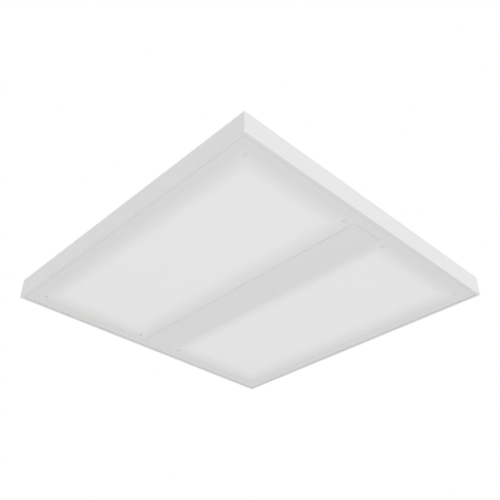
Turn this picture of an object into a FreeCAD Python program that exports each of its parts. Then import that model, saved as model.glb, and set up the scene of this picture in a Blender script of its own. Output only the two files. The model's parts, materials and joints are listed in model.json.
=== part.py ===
"""Recessed troffer light for a 600 mm ceiling grid: a shallow square housing with a hinged
lens door. Seen from below: a plain rim, a flat border, a dark spine along Y and two dished
opal lenses. Origin at the middle of the rim's lower face, +Z up into the ceiling."""
import FreeCAD
import Part
import Sketcher
import math
import os
import re

Vector = FreeCAD.Vector
Rotation = FreeCAD.Rotation
Placement = FreeCAD.Placement

document = FreeCAD.newDocument("TrofferLight")
sheet = document.addObject("Spreadsheet::Sheet", "Sizes")

# Driving dimensions in millimetres
sizes = [
    ("side", 595, "side of the square fitting"),
    ("bodyDepth", 38.5, "height of the side rails"),
    ("railWall", 1.5, "side rail wall"),
    ("lipWidth", 6, "rim that rests on the ceiling tees"),
    ("lipThick", 0.8, "rim thickness"),
    ("topFlange", 12, "top flange of a side rail, from its outer face"),
    ("flangeThick", 1.2, "top flange thickness"),
    ("plateRecess", 1, "back plate seat below the top of the rails"),
    ("plateThick", 0.8, "back plate thickness"),
    ("plateGap", 0.4, "gap round the back plate"),
    ("flangeHole", 7, "flange screws, from the outer face"),
    ("railScrewPitch", 130, "pitch of the back plate screws"),
    ("screwRadius", 1.5, "sheet metal screw shank"),
    ("screwHead", 2.75, "sheet metal screw head radius"),
    ("headHeight", 1.8, "sheet metal screw head height"),
    ("screwTip", 2, "screw point below the top flange"),
    ("holeClearance", 0.1, "radial clearance of fixed screws and rivets"),
    ("bracketLeg", 24, "corner bracket leg length"),
    ("bracketThick", 4, "corner bracket thickness"),
    ("bracketLow", 14, "corner bracket lower edge"),
    ("bracketHeight", 12, "corner bracket height"),
    ("grubRadius", 2, "grub screw radius"),
    ("cordHoleInset", 35.5, "safety cord holes, from the outer face"),
    ("cordHoleY", 150, "safety cord holes, from the middle"),
    ("cordHoleRadius", 2.5, "safety cord hole radius"),
    ("coverWidth", 70, "wiring cover width"),
    ("coverLength", 130, "wiring cover length"),
    ("coverInset", 157.5, "wiring cover middle, from the outer face"),
    ("coverThick", 0.8, "wiring cover thickness"),
    ("coverEdge", 5, "wiring cover screws from its edge"),
    ("openingRim", 10, "overlap of the wiring cover round its opening"),
    ("grommetOffset", 30, "cable grommet, outwards from the cover middle"),
    ("grommetNeck", 9, "cable grommet neck radius"),
    ("grommetBore", 5, "cable grommet bore radius"),
    ("grommetFlange", 12, "cable grommet flange radius"),
    ("grommetThick", 1.5, "cable grommet flange thickness"),
    ("terminalOffset", 25, "mains terminal, inwards from the cover middle"),
    ("terminalWidth", 34, "mains terminal width"),
    ("terminalLength", 20, "mains terminal length"),
    ("terminalHeight", 14, "mains terminal height"),
    ("polePitch", 10, "pitch of the terminal poles"),
    ("wellRadius", 2, "screw well of a terminal pole, radius"),
    ("wellDepth", 4, "screw well of a terminal pole, depth"),
    ("studOffset", 75, "earth stud, outwards from the cover middle"),
    ("studRadius", 2, "earth stud radius"),
    ("studLength", 10, "earth stud length"),
    ("nutHeight", 3.2, "earth nut height"),
    ("lugThick", 0.8, "earth lug thickness"),
    ("lugRadius", 4.4, "earth lug radius"),
    ("wireRadius", 1, "wire radius over its insulation"),
    ("mainsRun", 20, "straight run of a mains wire at each end"),
    ("mainsDrop", 3, "drop of the mains wires"),
    ("mainsSpread", 6, "mains wires at the driver, from the middle"),
    ("earthRun", 15, "straight run of the earth wire from its lug"),
    ("outputRun", 25, "straight run of an output wire from the driver"),
    ("linkRun", 22, "reach of a link wire past the boards"),
    ("reflectorThick", 0.6, "reflector sheet"),
    ("reflectorLow", 17, "reflector flange height"),
    ("reflectorInside", 36, "reflector mouth, spine side"),
    ("reflectorInset", 10, "reflector mouth inside the window edge"),
    ("reflectorSlope", 32, "reflector slope run on the outer sides"),
    ("reflectorSpineSlope", 28, "reflector slope run beside the spine"),
    ("reflectorFlange", 5, "reflector flange width"),
    ("boardPitch", 90, "pitch of the two boards in a field"),
    ("boardWidth", 16, "LED board width"),
    ("boardLength", 410, "LED board length"),
    ("boardThick", 1.6, "LED board thickness"),
    ("chipInset", 18, "first and last LED chip, from the board end"),
    ("chipWidth", 2.8, "LED chip width"),
    ("chipLength", 3.5, "LED chip length"),
    ("chipHeight", 0.7, "LED chip height"),
    ("boardScrewInset", 29, "LED board screws, from the board end"),
    ("plugSize", 8, "board connector width and length"),
    ("plugHeight", 4, "board connector height"),
    ("driverWidth", 32, "driver base width"),
    ("driverInset", 72.5, "driver cover end, from the outer face"),
    ("driverOffset", 100, "driver end, inwards from the cover middle"),
    ("driverHeight", 20, "driver height below the back plate"),
    ("driverSheet", 1, "driver sheet thickness"),
    ("driverEar", 14, "driver fixing ear length"),
    ("driverScrew", 13, "driver screws from the spine middle"),
    ("ventMargin", 28.5, "first and last driver vent, from the cover ends"),
    ("ventWidth", 3, "driver vent width"),
    ("ventLow", 6, "driver vents above the bottom of the cover"),
    ("ventHeight", 8, "driver vent height"),
    ("doorGap", 0.5, "gap between door and rim"),
    ("doorLift", 0.5, "door face above the rim face"),
    ("doorSheet", 1, "door sheet thickness"),
    ("doorBorder", 19, "flat door border width"),
    ("doorWall", 7.5, "door rail height"),
    ("spineWidth", 68, "spine cover width"),
    ("ribSpacing", 50, "spine rib spacing over the outside"),
    ("ribHeight", 10.5, "spine rib height"),
    ("lensThick", 2, "lens sheet thickness"),
    ("lensOverlap", 6, "lens rim overlap on the door"),
    ("lensLedge", 12, "flat lens rim inside the outer window edge"),
    ("spineLedge", 4, "flat lens rim inside the spine edge"),
    ("lensRise", 7, "height of the lens dish"),
    ("lensSlope", 22, "lens slope run on the outer sides"),
    ("spineSlope", 20, "lens slope run beside the spine"),
    ("seatGap", 1, "gap between a lens edge and the plates beside it"),
    ("gussetLeg", 49.5, "corner gusset leg length"),
    ("gussetWidth", 29.5, "corner gusset leg width"),
    ("gussetThick", 1, "gusset and end plate thickness"),
    ("endPlateReach", 54, "half length of a spine end plate"),
    ("spineFoot", 18, "length of the end plate seat on the spine"),
    ("ribGap", 4, "gap between a spine rib and the end plate seat"),
    ("rivetInset", 8, "outer lens rivets, from the window edge"),
    ("innerRivet", 15, "inner lens rivets, from the window edge"),
    ("rivetHead", 3.5, "lens rivet head radius"),
    ("rivetShank", 1.6, "lens rivet shank radius"),
    ("rivetTail", 2.6, "lens rivet formed head radius"),
    ("tailHeight", 0.8, "lens rivet formed head height"),
    ("pivotInset", 15.5, "hinge pin, from the outer face"),
    ("pivotHeight", 5.5, "hinge pin height"),
    ("hingeSpacing", 180, "hinges and catches, from the middle"),
    ("earRadius", 2.9, "hinge ear radius"),
    ("earWidth", 4, "hinge ear width"),
    ("pinRadius", 1.5, "hinge pin radius"),
    ("pinFit", 0.06, "radial running clearance of the hinge pin"),
    ("earGap", 0.5, "side clearance in the hinge"),
    ("lugWidth", 2.5, "hinge leaf lug width"),
    ("leafThick", 0.8, "hinge leaf thickness"),
    ("leafLength", 24, "hinge leaf length"),
    ("footThick", 1.6, "bracket foot thickness"),
    ("footLength", 20, "bracket foot length"),
    ("footScrew", 6, "bracket screws from the bracket middle"),
    ("ballRadius", 2.5, "striker ball radius"),
    ("ballHeight", 13, "striker ball height"),
    ("ballPost", 1.2, "striker post radius"),
    ("ballFoot", 3, "striker foot radius"),
    ("partGap", 0.3, "clearance between parts that move past each other"),
    ("jawThick", 1.2, "catch jaw thickness"),
    ("jawWidth", 12, "catch width along the door edge"),
    ("jawReach", 4, "catch jaws below the ball"),
    ("clipInset", 35.5, "tee clip pivot, from the nearer outer face"),
    ("clipSetback", 47.5, "tee clip pivot, from the other outer face"),
    ("clipRadius", 8, "tee clip half width"),
    ("clipLength", 48, "tee clip arm length"),
    ("clipThick", 1.2, "tee clip thickness"),
    ("clipLift", 0.6, "tee clip above the back plate"),
    ("clipEdge", 3, "height of the folded edge of a tee clip"),
    ("clipEdgeLength", 38, "length of the folded edge of a tee clip"),
    ("clipBore", 3.1, "tee clip bore radius"),
    ("clipFit", 0.08, "radial running clearance of the tee clip"),
    ("clipPlay", 0.1, "play under the head of the clip rivet"),
    ("clipHead", 4.8, "clip rivet head radius"),
    ("clipShoulder", 4.2, "clip rivet shoulder radius"),
    ("past", 1, "how far a cut runs past the solid that it cuts"),
]

# Heights and places that follow from the sizes
half = "side/2"
seat = "(bodyDepth - plateRecess)"
plateTop = f"({seat} + plateThick)"
wallInside = f"({half} - railWall)"
flangeUnder = f"({seat} - flangeThick)"
screwLine = f"({half} - flangeHole)"
doorHalf = f"({half} - lipWidth - doorGap)"
window = f"({doorHalf} - doorBorder)"
doorTop = "(doorLift + doorSheet)"
rimTop = f"({doorTop} + lensThick)"
lensEdge = f"({window} + lensOverlap)"
seatLine = f"({lensEdge} + seatGap)"
spineHalf = "(spineWidth/2)"
wallLine = f"({doorHalf} - doorSheet)"
plateOver = f"({rimTop} + gussetThick)"
reflectorUnder = f"({seat} - reflectorThick)"
boardUnder = f"({reflectorUnder} - boardThick)"
pivotX = f"({half} - pivotInset)"
footUnder = f"({flangeUnder} - footThick)"
coverTop = f"({plateTop} + coverThick)"
clipUnder = f"({plateTop} + clipLift)"
clipOver = f"({clipUnder} + clipThick)"
coverMiddle = f"({half} - coverInset)"
grommetPlace = f"({coverMiddle} + grommetOffset)"
terminalPlace = f"({coverMiddle} - terminalOffset)"
studPlace = f"({coverMiddle} + studOffset)"
driverStart = f"(-{coverMiddle} + driverOffset)"
driverEnd = f"({half} - driverInset)"
reflectorOutside = f"({window} - reflectorInset)"
boardMiddle = f"((reflectorInside + {reflectorOutside})/2)"
firstBoard = f"({boardMiddle} - boardPitch/2)"
rivetLine = f"({window} - rivetInset)"
innerRivetLine = f"({spineHalf} + innerRivet)"
spineSeatEnd = f"({window} - seatGap)"
spineSeatStart = f"({spineSeatEnd} - spineFoot)"
wireHeight = f"({boardUnder} - plugHeight/2)"
terminalMiddle = f"({plateTop} - terminalHeight/2)"

aliases = {alias for alias, size, note in sizes}
quarters = range(4)
sides = (-1, 1)
cornerSigns = [(1, 1), (-1, 1), (-1, -1), (1, -1)]
zAxis = Vector(0, 0, 1)
chipCount = 18
chipPitch = f"((boardLength - 2*chipInset)/{chipCount - 1})"
boardScrewPitch = "(boardLength/2 - boardScrewInset)"
ventCount = 14
ventPitch = f"(({driverEnd} - {driverStart} - 2*ventMargin)/{ventCount - 1})"
nodes = []


def fillSheet():
    for row, (alias, size, note) in enumerate(sizes, 1):
        sheet.set(f"A{row}", note)
        sheet.set(f"B{row}", str(size))
        sheet.setAlias(f"B{row}", alias)
    document.recompute()


def sized(text):
    """Point the size names in an expression at the sheet."""
    return re.sub(r"[A-Za-z]\w*", lambda word: "Sizes." * (word[0] in aliases) + word[0], text)


def number(text):
    return float(sheet.evalExpression(sized(str(text))))


def bind(thing, **properties):
    for name, text in properties.items():
        thing.setExpression(name, sized(str(text)))


def place(thing, x="0", y="0", z="0"):
    for axis, text in (("x", x), ("y", y), ("z", z)):
        thing.setExpression(f"Placement.Base.{axis}", sized(str(text)))
    return thing


def mirrored(sign, low, high):
    """The span from low to high, or its mirror image."""
    return (low, high) if sign > 0 else (f"-({high})", f"-({low})")


def around(middle, extent):
    """The span of an extent about its middle."""
    return (f"({middle}) - ({extent})/2", f"({middle}) + ({extent})/2")


def block(name, x, y, z):
    box = document.addObject("Part::Box", name)
    for side, (low, high) in (("Length", x), ("Width", y), ("Height", z)):
        bind(box, **{side: f"({high}) - ({low})"})
    return place(box, x[0], y[0], z[0])


def rod(name, axis, span, middle, radius):
    """A cylinder along an axis; middle holds its two other coordinates."""
    cylinder = document.addObject("Part::Cylinder", name)
    bind(cylinder, Radius=radius, Height=f"({span[1]}) - ({span[0]})")
    if axis == "Z":
        return place(cylinder, middle[0], middle[1], span[0])
    if axis == "X":
        cylinder.Placement.Rotation = Rotation(Vector(0, 1, 0), 90)
        return place(cylinder, span[0], middle[0], middle[1])
    cylinder.Placement.Rotation = Rotation(Vector(-1, 0, 0), 90)
    return place(cylinder, middle[0], span[0], middle[1])


def frustum(name, lowX, lowY, highX, highY, z):
    """A four-sided block whose lower and upper rectangles differ."""
    wedge = document.addObject("Part::Wedge", name)
    bind(wedge, Xmin=lowX[0], Xmax=lowX[1], Zmin=f"-({lowY[1]})", Zmax=f"-({lowY[0]})")
    bind(wedge, X2min=highX[0], X2max=highX[1], Z2min=f"-({highY[1]})", Z2max=f"-({highY[0]})")
    bind(wedge, Ymin=z[0], Ymax=z[1])
    wedge.Placement.Rotation = Rotation(Vector(1, 0, 0), 90)
    return wedge


def outline(name, plane, corners, depth):
    """A body padded both ways from a sketch on one of its origin planes."""
    body = document.addObject("PartDesign::Body", name)
    sketch = body.newObject("Sketcher::SketchObject", name + "Sketch")
    planes = {feature.Role: feature for feature in body.Origin.OriginFeatures}
    sketch.AttachmentSupport = (planes[plane], [""])
    sketch.MapMode = "FlatFace"
    points = [Vector(number(across), number(up), 0) for across, up in corners]
    for index, point in enumerate(points):
        following = (index + 1) % len(points)
        sketch.addGeometry(Part.LineSegment(point, points[following]), False)
    for index, corner in enumerate(corners):
        following = (index + 1) % len(points)
        sketch.addConstraint(Sketcher.Constraint("Coincident", index, 2, following, 1))
        for kind, start, text in zip(("DistanceX", "DistanceY"), points[index], corner):
            mark = sketch.addConstraint(Sketcher.Constraint(kind, -1, 1, index, 1, start))
            sketch.setExpression(f"Constraints[{mark}]", sized(text))
    pad = body.newObject("PartDesign::Pad", name + "Pad")
    pad.Profile = sketch
    pad.SideType = "Symmetric"
    bind(pad, Length=depth)
    body.Tip = pad
    return body


def cut(name, base, tool):
    result = document.addObject("Part::Cut", name)
    result.Base = base
    result.Tool = tool
    return result


def fuse(name, shapes):
    result = document.addObject("Part::MultiFuse", name)
    result.Shapes = shapes
    return result


def common(name, shapes):
    result = document.addObject("Part::MultiCommon", name)
    result.Shapes = shapes
    return result


def group(name, things):
    """Identical pieces that share a node, as separate solids."""
    result = document.addObject("Part::Compound", name)
    result.Links = things
    return result


def drilled(name, base, spots, span, radius):
    holes = [
        rod(f"{name}Hole{index}", "Z", span, spot, radius) for index, spot in enumerate(spots)
    ]
    return cut(name, base, group(name + "Holes", holes))


def screw(name, spot, headSpan, shankSpan, head="screwHead", shank="screwRadius"):
    headRod = rod(name + "Head", "Z", headSpan, spot, head)
    shankRod = rod(name + "Shank", "Z", shankSpan, spot, shank)
    return fuse(name, [headRod, shankRod])


def screwGroup(node, spots, headSpan, shankSpan, head="screwHead"):
    screws = [
        screw(f"{node}{index}", spot, headSpan, shankSpan, head)
        for index, spot in enumerate(spots)
    ]
    keep(node, group(node, screws))


def keep(node, thing):
    """Give a finished sub-part its node name."""
    thing.Label = node
    nodes.append(thing)
    return thing


def turn(thing, quarter):
    thing.Placement = Placement(Vector(), Rotation(zAxis, 90 * quarter))
    return thing


def mitre(name, reach, height):
    """The quarter of a square between its middle and one side."""
    wedge = document.addObject("Part::Wedge", name)
    bind(wedge, Xmin=f"-({reach})", Xmax=reach, X2min="0", X2max="0")
    bind(wedge, Ymin=f"-({reach})", Ymax="0", Zmin="0", Zmax=height, Z2min="0", Z2max=height)
    return wedge


def along(middle, pitch, count):
    """Evenly pitched places about a middle, as expressions."""
    return [f"({middle}) + ({index - (count - 1)/2})*({pitch})" for index in range(count)]


def railScrews():
    """Back plate screws along one side, before it is turned into place."""
    return [(across, f"-{screwLine}") for across in along("0", "railScrewPitch", 3)]


def footScrews():
    """Hinge bracket or catch screws along one side, before it is turned."""
    spots = []
    for sign in sides:
        for offset in sides:
            across = f"{sign}*hingeSpacing + {offset}*footScrew"
            spots.append((across, f"-{screwLine}"))
    return spots


def turnedSpot(spot, quarter):
    """A plan position after a number of quarter turns."""
    x, y = spot
    for step in range(quarter):
        x, y = f"-({y})", x
    return (x, y)


def sideRails():
    """Four mitred rails: outer wall, bottom rim and top flange."""
    outer = f"-{half}"
    wall = f"-{wallInside}"
    rim = f"-({half} - lipWidth)"
    flange = f"-({half} - topFlange)"
    corners = [
        (outer, "0"), (rim, "0"), (rim, "lipThick"), (wall, "lipThick"),
        (wall, flangeUnder), (flange, flangeUnder), (flange, seat), (wall, seat),
        (wall, "bodyDepth"), (outer, "bodyDepth"),
    ]
    for quarter in quarters:
        name = f"side_rail_{quarter + 1}"
        profile = outline(name + "Profile", "YZ_Plane", corners, "side")
        spots = railScrews() + (footScrews() if quarter in (1, 3) else [])
        span = (f"{flangeUnder} - past", f"{seat} + past")
        rail = drilled(name + "Drilled", profile, spots, span, "screwRadius + holeClearance")
        piece = common(name, [rail, mitre(name + "Mitre", half, "bodyDepth")])
        keep(name, turn(piece, quarter))


def cornerBrackets():
    """Cast corner brackets inside the rails, held by grub screws."""
    outer = f"-{wallInside}"
    near = f"-({wallInside} - bracketThick)"
    end = f"-({wallInside} - bracketLeg)"
    corners = [(outer, outer), (end, outer), (end, near), (near, near), (near, end), (outer, end)]
    middle = "bracketLow + bracketHeight/2"
    screwSpot = (f"{near} + (bracketLeg - bracketThick)/2", middle)
    brackets = []
    screws = []
    for quarter in quarters:
        name = f"cornerBracket{quarter}"
        leg = outline(name + "Plate", "XY_Plane", corners, "bracketHeight")
        place(leg, z=middle)
        holeRadius = "grubRadius + holeClearance"
        holes = [rod(f"{name}Hole{axis}", axis, (outer, near), screwSpot, holeRadius) for axis in "XY"]
        brackets.append(turn(cut(name, leg, group(name + "Holes", holes)), quarter))
        grubs = [rod(f"{name}Grub{axis}", axis, (outer, near), screwSpot, "grubRadius") for axis in "XY"]
        screws.append(turn(group(name + "Grubs", grubs), quarter))
    keep("frame_corner_brackets", group("frame_corner_brackets", brackets))
    keep("frame_grub_screws", group("frame_grub_screws", screws))


def plateScrewSpots():
    return [turnedSpot(spot, quarter) for quarter in quarters for spot in railScrews()]


def footScrewSpots():
    return [turnedSpot(spot, quarter) for quarter in (1, 3) for spot in footScrews()]


def coverScrewSpots():
    spots = []
    for signX in sides:
        for signY in sides:
            x = f"{signX}*(coverWidth/2 - coverEdge)"
            spots.append((x, f"-{coverMiddle} + {signY}*(coverLength/2 - coverEdge)"))
    return spots


def boardScrewSpots(sign=None):
    spots = []
    for side in sides if sign is None else (sign,):
        for across in along(boardMiddle, "boardPitch", 2):
            for lengthwise in along("0", boardScrewPitch, 3):
                spots.append((f"{side}*({across})", lengthwise))
    return spots


def driverScrewSpots():
    ends = (f"{driverStart} - driverEar/2", f"{driverEnd} + driverEar/2")
    return [(f"{sign}*driverScrew", lengthwise) for sign in sides for lengthwise in ends]


def clipSpots():
    return [(f"{x}*({half} - clipInset)", f"{y}*({half} - clipSetback)") for x, y in cornerSigns]


def backPlate():
    """The steel back plate, with the wiring opening and every fixing hole."""
    edge = f"({wallInside} - plateGap)"
    sheetBlock = block("backSheet", (f"-{edge}", edge), (f"-{edge}", edge), (seat, plateTop))
    through = (f"{seat} - past", f"{plateTop} + past")
    opening = block(
        "wiringOpening",
        around("0", "coverWidth - 2*openingRim"),
        around(f"-{coverMiddle}", "coverLength - 2*openingRim"),
        through,
    )
    opened = cut("backPlateOpened", sheetBlock, opening)
    spots = plateScrewSpots() + footScrewSpots() + coverScrewSpots()
    spots += boardScrewSpots() + driverScrewSpots()
    screwed = drilled("backPlateScrewed", opened, spots, through, "screwRadius + holeClearance")
    cords = [(f"{x}*({half} - cordHoleInset)", f"{y}*cordHoleY") for x, y in cornerSigns]
    corded = drilled("backPlateCorded", screwed, cords, through, "cordHoleRadius")
    bore = "clipBore - clipFit + holeClearance"
    keep("back_plate", drilled("back_plate", corded, clipSpots(), through, bore))
    headSpan = (plateTop, f"{plateTop} + headHeight")
    shankSpan = (f"{flangeUnder} - screwTip", plateTop)
    screwGroup("back_plate_screws", plateScrewSpots(), headSpan, shankSpan)


def wiringCover():
    """Access cover over the mains terminal, with the cable grommet."""
    x = around("0", "coverWidth")
    y = around(f"-{coverMiddle}", "coverLength")
    sheetBlock = block("coverSheet", x, y, (plateTop, coverTop))
    through = (f"{plateTop} - past", f"{coverTop} + past")
    radius = "screwRadius + holeClearance"
    screwed = drilled("coverScrewed", sheetBlock, coverScrewSpots(), through, radius)
    spot = [("0", f"-{grommetPlace}")]
    keep("wiring_cover", drilled("wiring_cover", screwed, spot, through, "grommetNeck"))
    headSpan = (coverTop, f"{coverTop} + headHeight")
    shankSpan = (f"{seat} - 3", coverTop)
    screwGroup("wiring_cover_screws", coverScrewSpots(), headSpan, shankSpan)


def cableGrommet():
    """Rubber grommet that lines the hole in the wiring cover."""
    middle = ("0", f"-{grommetPlace}")
    low = f"{plateTop} - grommetThick"
    high = f"{coverTop} + grommetThick"
    upper = rod("grommetUpper", "Z", (coverTop, high), middle, "grommetFlange")
    lower = rod("grommetLower", "Z", (low, plateTop), middle, "grommetFlange")
    neck = rod("grommetNeckRod", "Z", (low, high), middle, "grommetNeck")
    solid = fuse("grommetSolid", [upper, lower, neck])
    bore = rod("grommetBoreRod", "Z", (f"{low} - past", f"{high} + past"), middle, "grommetBore")
    keep("cable_grommet", cut("cable_grommet", solid, bore))


def mainsTerminal():
    """Three-pole terminal block under the wiring cover."""
    x = around("0", "terminalWidth")
    y = around(f"-{terminalPlace}", "terminalLength")
    body = block("terminalBody", x, y, (f"{plateTop} - terminalHeight", plateTop))
    wells = []
    for index, across in enumerate(along("0", "polePitch", 3)):
        span = (f"{plateTop} - terminalHeight - past", f"{plateTop} - terminalHeight + wellDepth")
        wells.append(rod(f"terminalWell{index}", "Z", span, (across, f"-{terminalPlace}"), "wellRadius"))
    keep("mains_terminal", cut("mains_terminal", body, group("terminalWells", wells)))


def earthStud():
    """Stud welded under the back plate, with its nut under the earth lug."""
    middle = ("0", f"-{studPlace}")
    foot = f"({seat} - flangeThick)"
    lug = f"({foot} - lugThick)"
    nutLow = f"({lug} - nutHeight)"
    base = rod("studFoot", "Z", (foot, seat), middle, "2*studRadius")
    shank = rod("studShank", "Z", (f"{seat} - studLength", seat), middle, "studRadius")
    stud = fuse("earthStudFused", [base, shank])
    nut = document.addObject("Part::Prism", "nutPrism")
    nut.Polygon = 6
    bind(nut, Circumradius="2*studRadius", Height="nutHeight")
    place(nut, "0", f"-{studPlace}", nutLow)
    bore = rod("nutBore", "Z", (f"{nutLow} - past", f"{lug} + past"), middle, "studRadius")
    keep("earth_stud", group("earth_stud", [stud, cut("earthNut", nut, bore)]))


def reflectors():
    """White trays that carry the LED boards, sloped towards the lenses."""
    low = "reflectorLow"
    for sign in sides:
        name = "reflector_right" if sign > 0 else "reflector_left"
        spanX = mirrored(sign, "reflectorInside", reflectorOutside)
        spanY = (f"-{reflectorOutside}", reflectorOutside)
        inner = "reflectorInside + reflectorSpineSlope"
        outer = f"({reflectorOutside} - reflectorSlope)"
        topX = mirrored(sign, inner, outer)
        topY = (f"-({outer})", outer)
        rimEdge = f"({reflectorOutside} + reflectorFlange)"
        rimX = mirrored(sign, "reflectorInside - reflectorFlange", rimEdge)
        rimY = (f"-{rimEdge}", rimEdge)
        shell = frustum(name + "Outside", spanX, spanY, topX, topY, (low, seat))
        rim = block(name + "Rim", rimX, rimY, (low, f"{low} + reflectorThick"))
        lower = (f"{low} - reflectorThick", reflectorUnder)
        hollow = frustum(name + "Inside", spanX, spanY, topX, topY, lower)
        tray = cut(name + "Tray", fuse(name + "Solid", [shell, rim]), hollow)
        through = (f"{reflectorUnder} - past", f"{seat} + past")
        radius = "screwRadius + holeClearance"
        screwed = drilled(name + "Screwed", tray, boardScrewSpots(sign), through, radius)
        wireHole = rod(
            name + "WireHole",
            "Y",
            (outer, reflectorOutside),
            (f"{sign}*{firstBoard}", wireHeight),
            "wireRadius*2.5",
        )
        keep(name, cut(name, screwed, wireHole))


def ledBoards():
    """Two boards in each field, each with a row of chips and two connectors."""
    chips = {sign: [] for sign in sides}
    plugs = []
    boardNumber = 0
    for sign in sides:
        for across in along(boardMiddle, "boardPitch", 2):
            boardNumber += 1
            middle = f"{sign}*({across})"
            name = f"led_board_{boardNumber}"
            x = around(middle, "boardWidth")
            y = around("0", "boardLength")
            board = block(name + "Sheet", x, y, (boardUnder, reflectorUnder))
            spots = [(middle, lengthwise) for lengthwise in along("0", boardScrewPitch, 3)]
            through = (f"{boardUnder} - past", f"{reflectorUnder} + past")
            keep(name, drilled(name, board, spots, through, "screwRadius + holeClearance"))
            for index, lengthwise in enumerate(along("0", chipPitch, chipCount)):
                chipX = around(middle, "chipWidth")
                chipY = around(lengthwise, "chipLength")
                chipZ = (f"{boardUnder} - chipHeight", boardUnder)
                chips[sign].append(block(f"chip{boardNumber}n{index}", chipX, chipY, chipZ))
            for end in sides:
                plugY = mirrored(end, "boardLength/2 - plugSize", "boardLength/2")
                plugZ = (f"{boardUnder} - plugHeight", boardUnder)
                plugX = around(middle, "plugSize")
                plugs.append(block(f"plug{boardNumber}End{end + 1}", plugX, plugY, plugZ))
    keep("led_chips_left", group("led_chips_left", chips[-1]))
    keep("led_chips_right", group("led_chips_right", chips[1]))
    keep("board_connectors", group("board_connectors", plugs))
    headSpan = (f"{boardUnder} - headHeight", boardUnder)
    screwGroup("led_board_screws", boardScrewSpots(), headSpan, (boardUnder, plateTop))


def driver():
    """Sheet metal driver in the spine: base with fixing ears, and a vented cover."""
    baseUnder = f"({seat} - driverSheet)"
    x = around("0", "driverWidth")
    y = (f"{driverStart} - driverEar", f"{driverEnd} + driverEar")
    base = block("driverBaseSheet", x, y, (baseUnder, seat))
    through = (f"{baseUnder} - past", f"{seat} + past")
    radius = "screwRadius + holeClearance"
    keep("driver_base", drilled("driver_base", base, driverScrewSpots(), through, radius))
    bottom = f"({seat} - driverHeight)"
    shell = block("driverShell", x, (driverStart, driverEnd), (bottom, baseUnder))
    hollow = block(
        "driverHollow",
        around("0", "driverWidth - 2*driverSheet"),
        (f"{driverStart} + driverSheet", f"{driverEnd} - driverSheet"),
        (f"{bottom} + driverSheet", f"{baseUnder} + past"),
    )
    vents = []
    middle = f"({driverStart} + {driverEnd})/2"
    for index, lengthwise in enumerate(along(middle, ventPitch, ventCount)):
        ventZ = (f"{bottom} + ventLow", f"{bottom} + ventLow + ventHeight")
        ventX = around("0", "driverWidth + 2*past")
        vents.append(block(f"vent{index}", ventX, around(lengthwise, "ventWidth"), ventZ))
    box = cut("driverBox", shell, hollow)
    keep("driver_cover", cut("driver_cover", box, group("driverVents", vents)))
    headSpan = (f"{baseUnder} - headHeight", baseUnder)
    screwGroup("driver_screws", driverScrewSpots(), headSpan, (baseUnder, plateTop))


def route(points):
    """Straight runs joined by tangent arcs, as large as the shorter run allows."""
    places = [Vector(*[number(text) for text in point]) for point in points]
    edges = []
    start = places[0]
    for before, corner, after in zip(places, places[1:], places[2:]):
        back = (before - corner).normalize()
        ahead = (after - corner).normalize()
        tangent = 0.45 * min(before.distanceToPoint(corner), after.distanceToPoint(corner))
        halfInside = back.getAngle(ahead) / 2
        radius = tangent * math.tan(halfInside)
        middle = (back + ahead).normalize()
        summit = corner + middle * (tangent / math.cos(halfInside) - radius)
        entry = corner + back * tangent
        leave = corner + ahead * tangent
        edges.append(Part.LineSegment(start, entry).toShape())
        edges.append(Part.Arc(entry, summit, leave).toShape())
        print(f"wire arc radius {radius:.1f}")
        start = leave
    edges.append(Part.LineSegment(start, places[-1]).toShape())
    return Part.Wire(edges)


def wire(name, points):
    """An insulated wire as a tube along its route."""
    path = route(points)
    radius = number("wireRadius")
    first = path.Edges[0]
    start = first.valueAt(first.FirstParameter)
    section = Part.Circle(start, first.tangentAt(first.FirstParameter), radius).toShape()
    tube = path.makePipeShell([Part.Wire([section])], True, False)
    expected = math.pi * radius**2 * path.Length
    print(f"{name}: volume {tube.Volume:.1f}, section by length {expected:.1f}")
    feature = document.addObject("Part::Feature", name)
    feature.Shape = tube
    return feature


def mainsWires():
    """Live and neutral, from the mains terminal to the driver."""
    nearEnd = f"-{terminalPlace} + terminalLength/2"
    wires = []
    for sign in sides:
        far = f"{sign}*polePitch"
        close = f"{sign}*mainsSpread"
        wires.append(wire(f"mainsWire{sign + 1}", [
            (far, nearEnd, terminalMiddle),
            (far, f"{nearEnd} + mainsRun", terminalMiddle),
            (close, f"{driverStart} - mainsRun", f"{terminalMiddle} - mainsDrop"),
            (close, driverStart, f"{terminalMiddle} - mainsDrop"),
        ]))
    keep("mains_wires", group("mains_wires", wires))


def earthWire():
    """Earth lead with its lug, from the terminal to the earth stud."""
    foot = f"({seat} - flangeThick)"
    lugLow = f"({foot} - lugThick)"
    lead = f"({foot} - wireRadius)"
    low = f"({terminalMiddle} - 2*wireRadius)"
    middle = ("0", f"-{studPlace}")
    ring = rod("lugRing", "Z", (lugLow, foot), middle, "lugRadius")
    bore = rod("lugBore", "Z", (f"{lugLow} - past", f"{foot} + past"), middle, "studRadius + holeClearance")
    tube = wire("earthTube", [
        ("0", f"-{studPlace} + 2*studRadius", lead),
        ("0", f"-{studPlace} + 2*studRadius + earthRun", lead),
        ("0", f"-{grommetPlace} - grommetNeck", low),
        ("0", f"-{terminalPlace} - terminalLength/2", low),
    ])
    lug = cut("earthLug", ring, bore)
    nutSpan = (f"{foot} - studLength", f"{foot} + past")
    nearNut = rod("nutSpace", "Z", nutSpan, middle, "2*studRadius + holeClearance")
    keep("earth_wire", fuse("earth_wire", [cut("earthTubeTrimmed", tube, nearNut), lug]))


def outputWires():
    """From the driver through the reflector end to the first board of each field."""
    for sign in sides:
        node = "output_wire_right" if sign > 0 else "output_wire_left"
        across = f"{sign}*{firstBoard}"
        bend = f"{driverEnd} + outputRun"
        start = f"{sign}*driverWidth/4"
        keep(node, wire(node, [
            (start, driverEnd, wireHeight),
            (start, bend, wireHeight),
            (across, bend, wireHeight),
            (across, "boardLength/2", wireHeight),
        ]))


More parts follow.
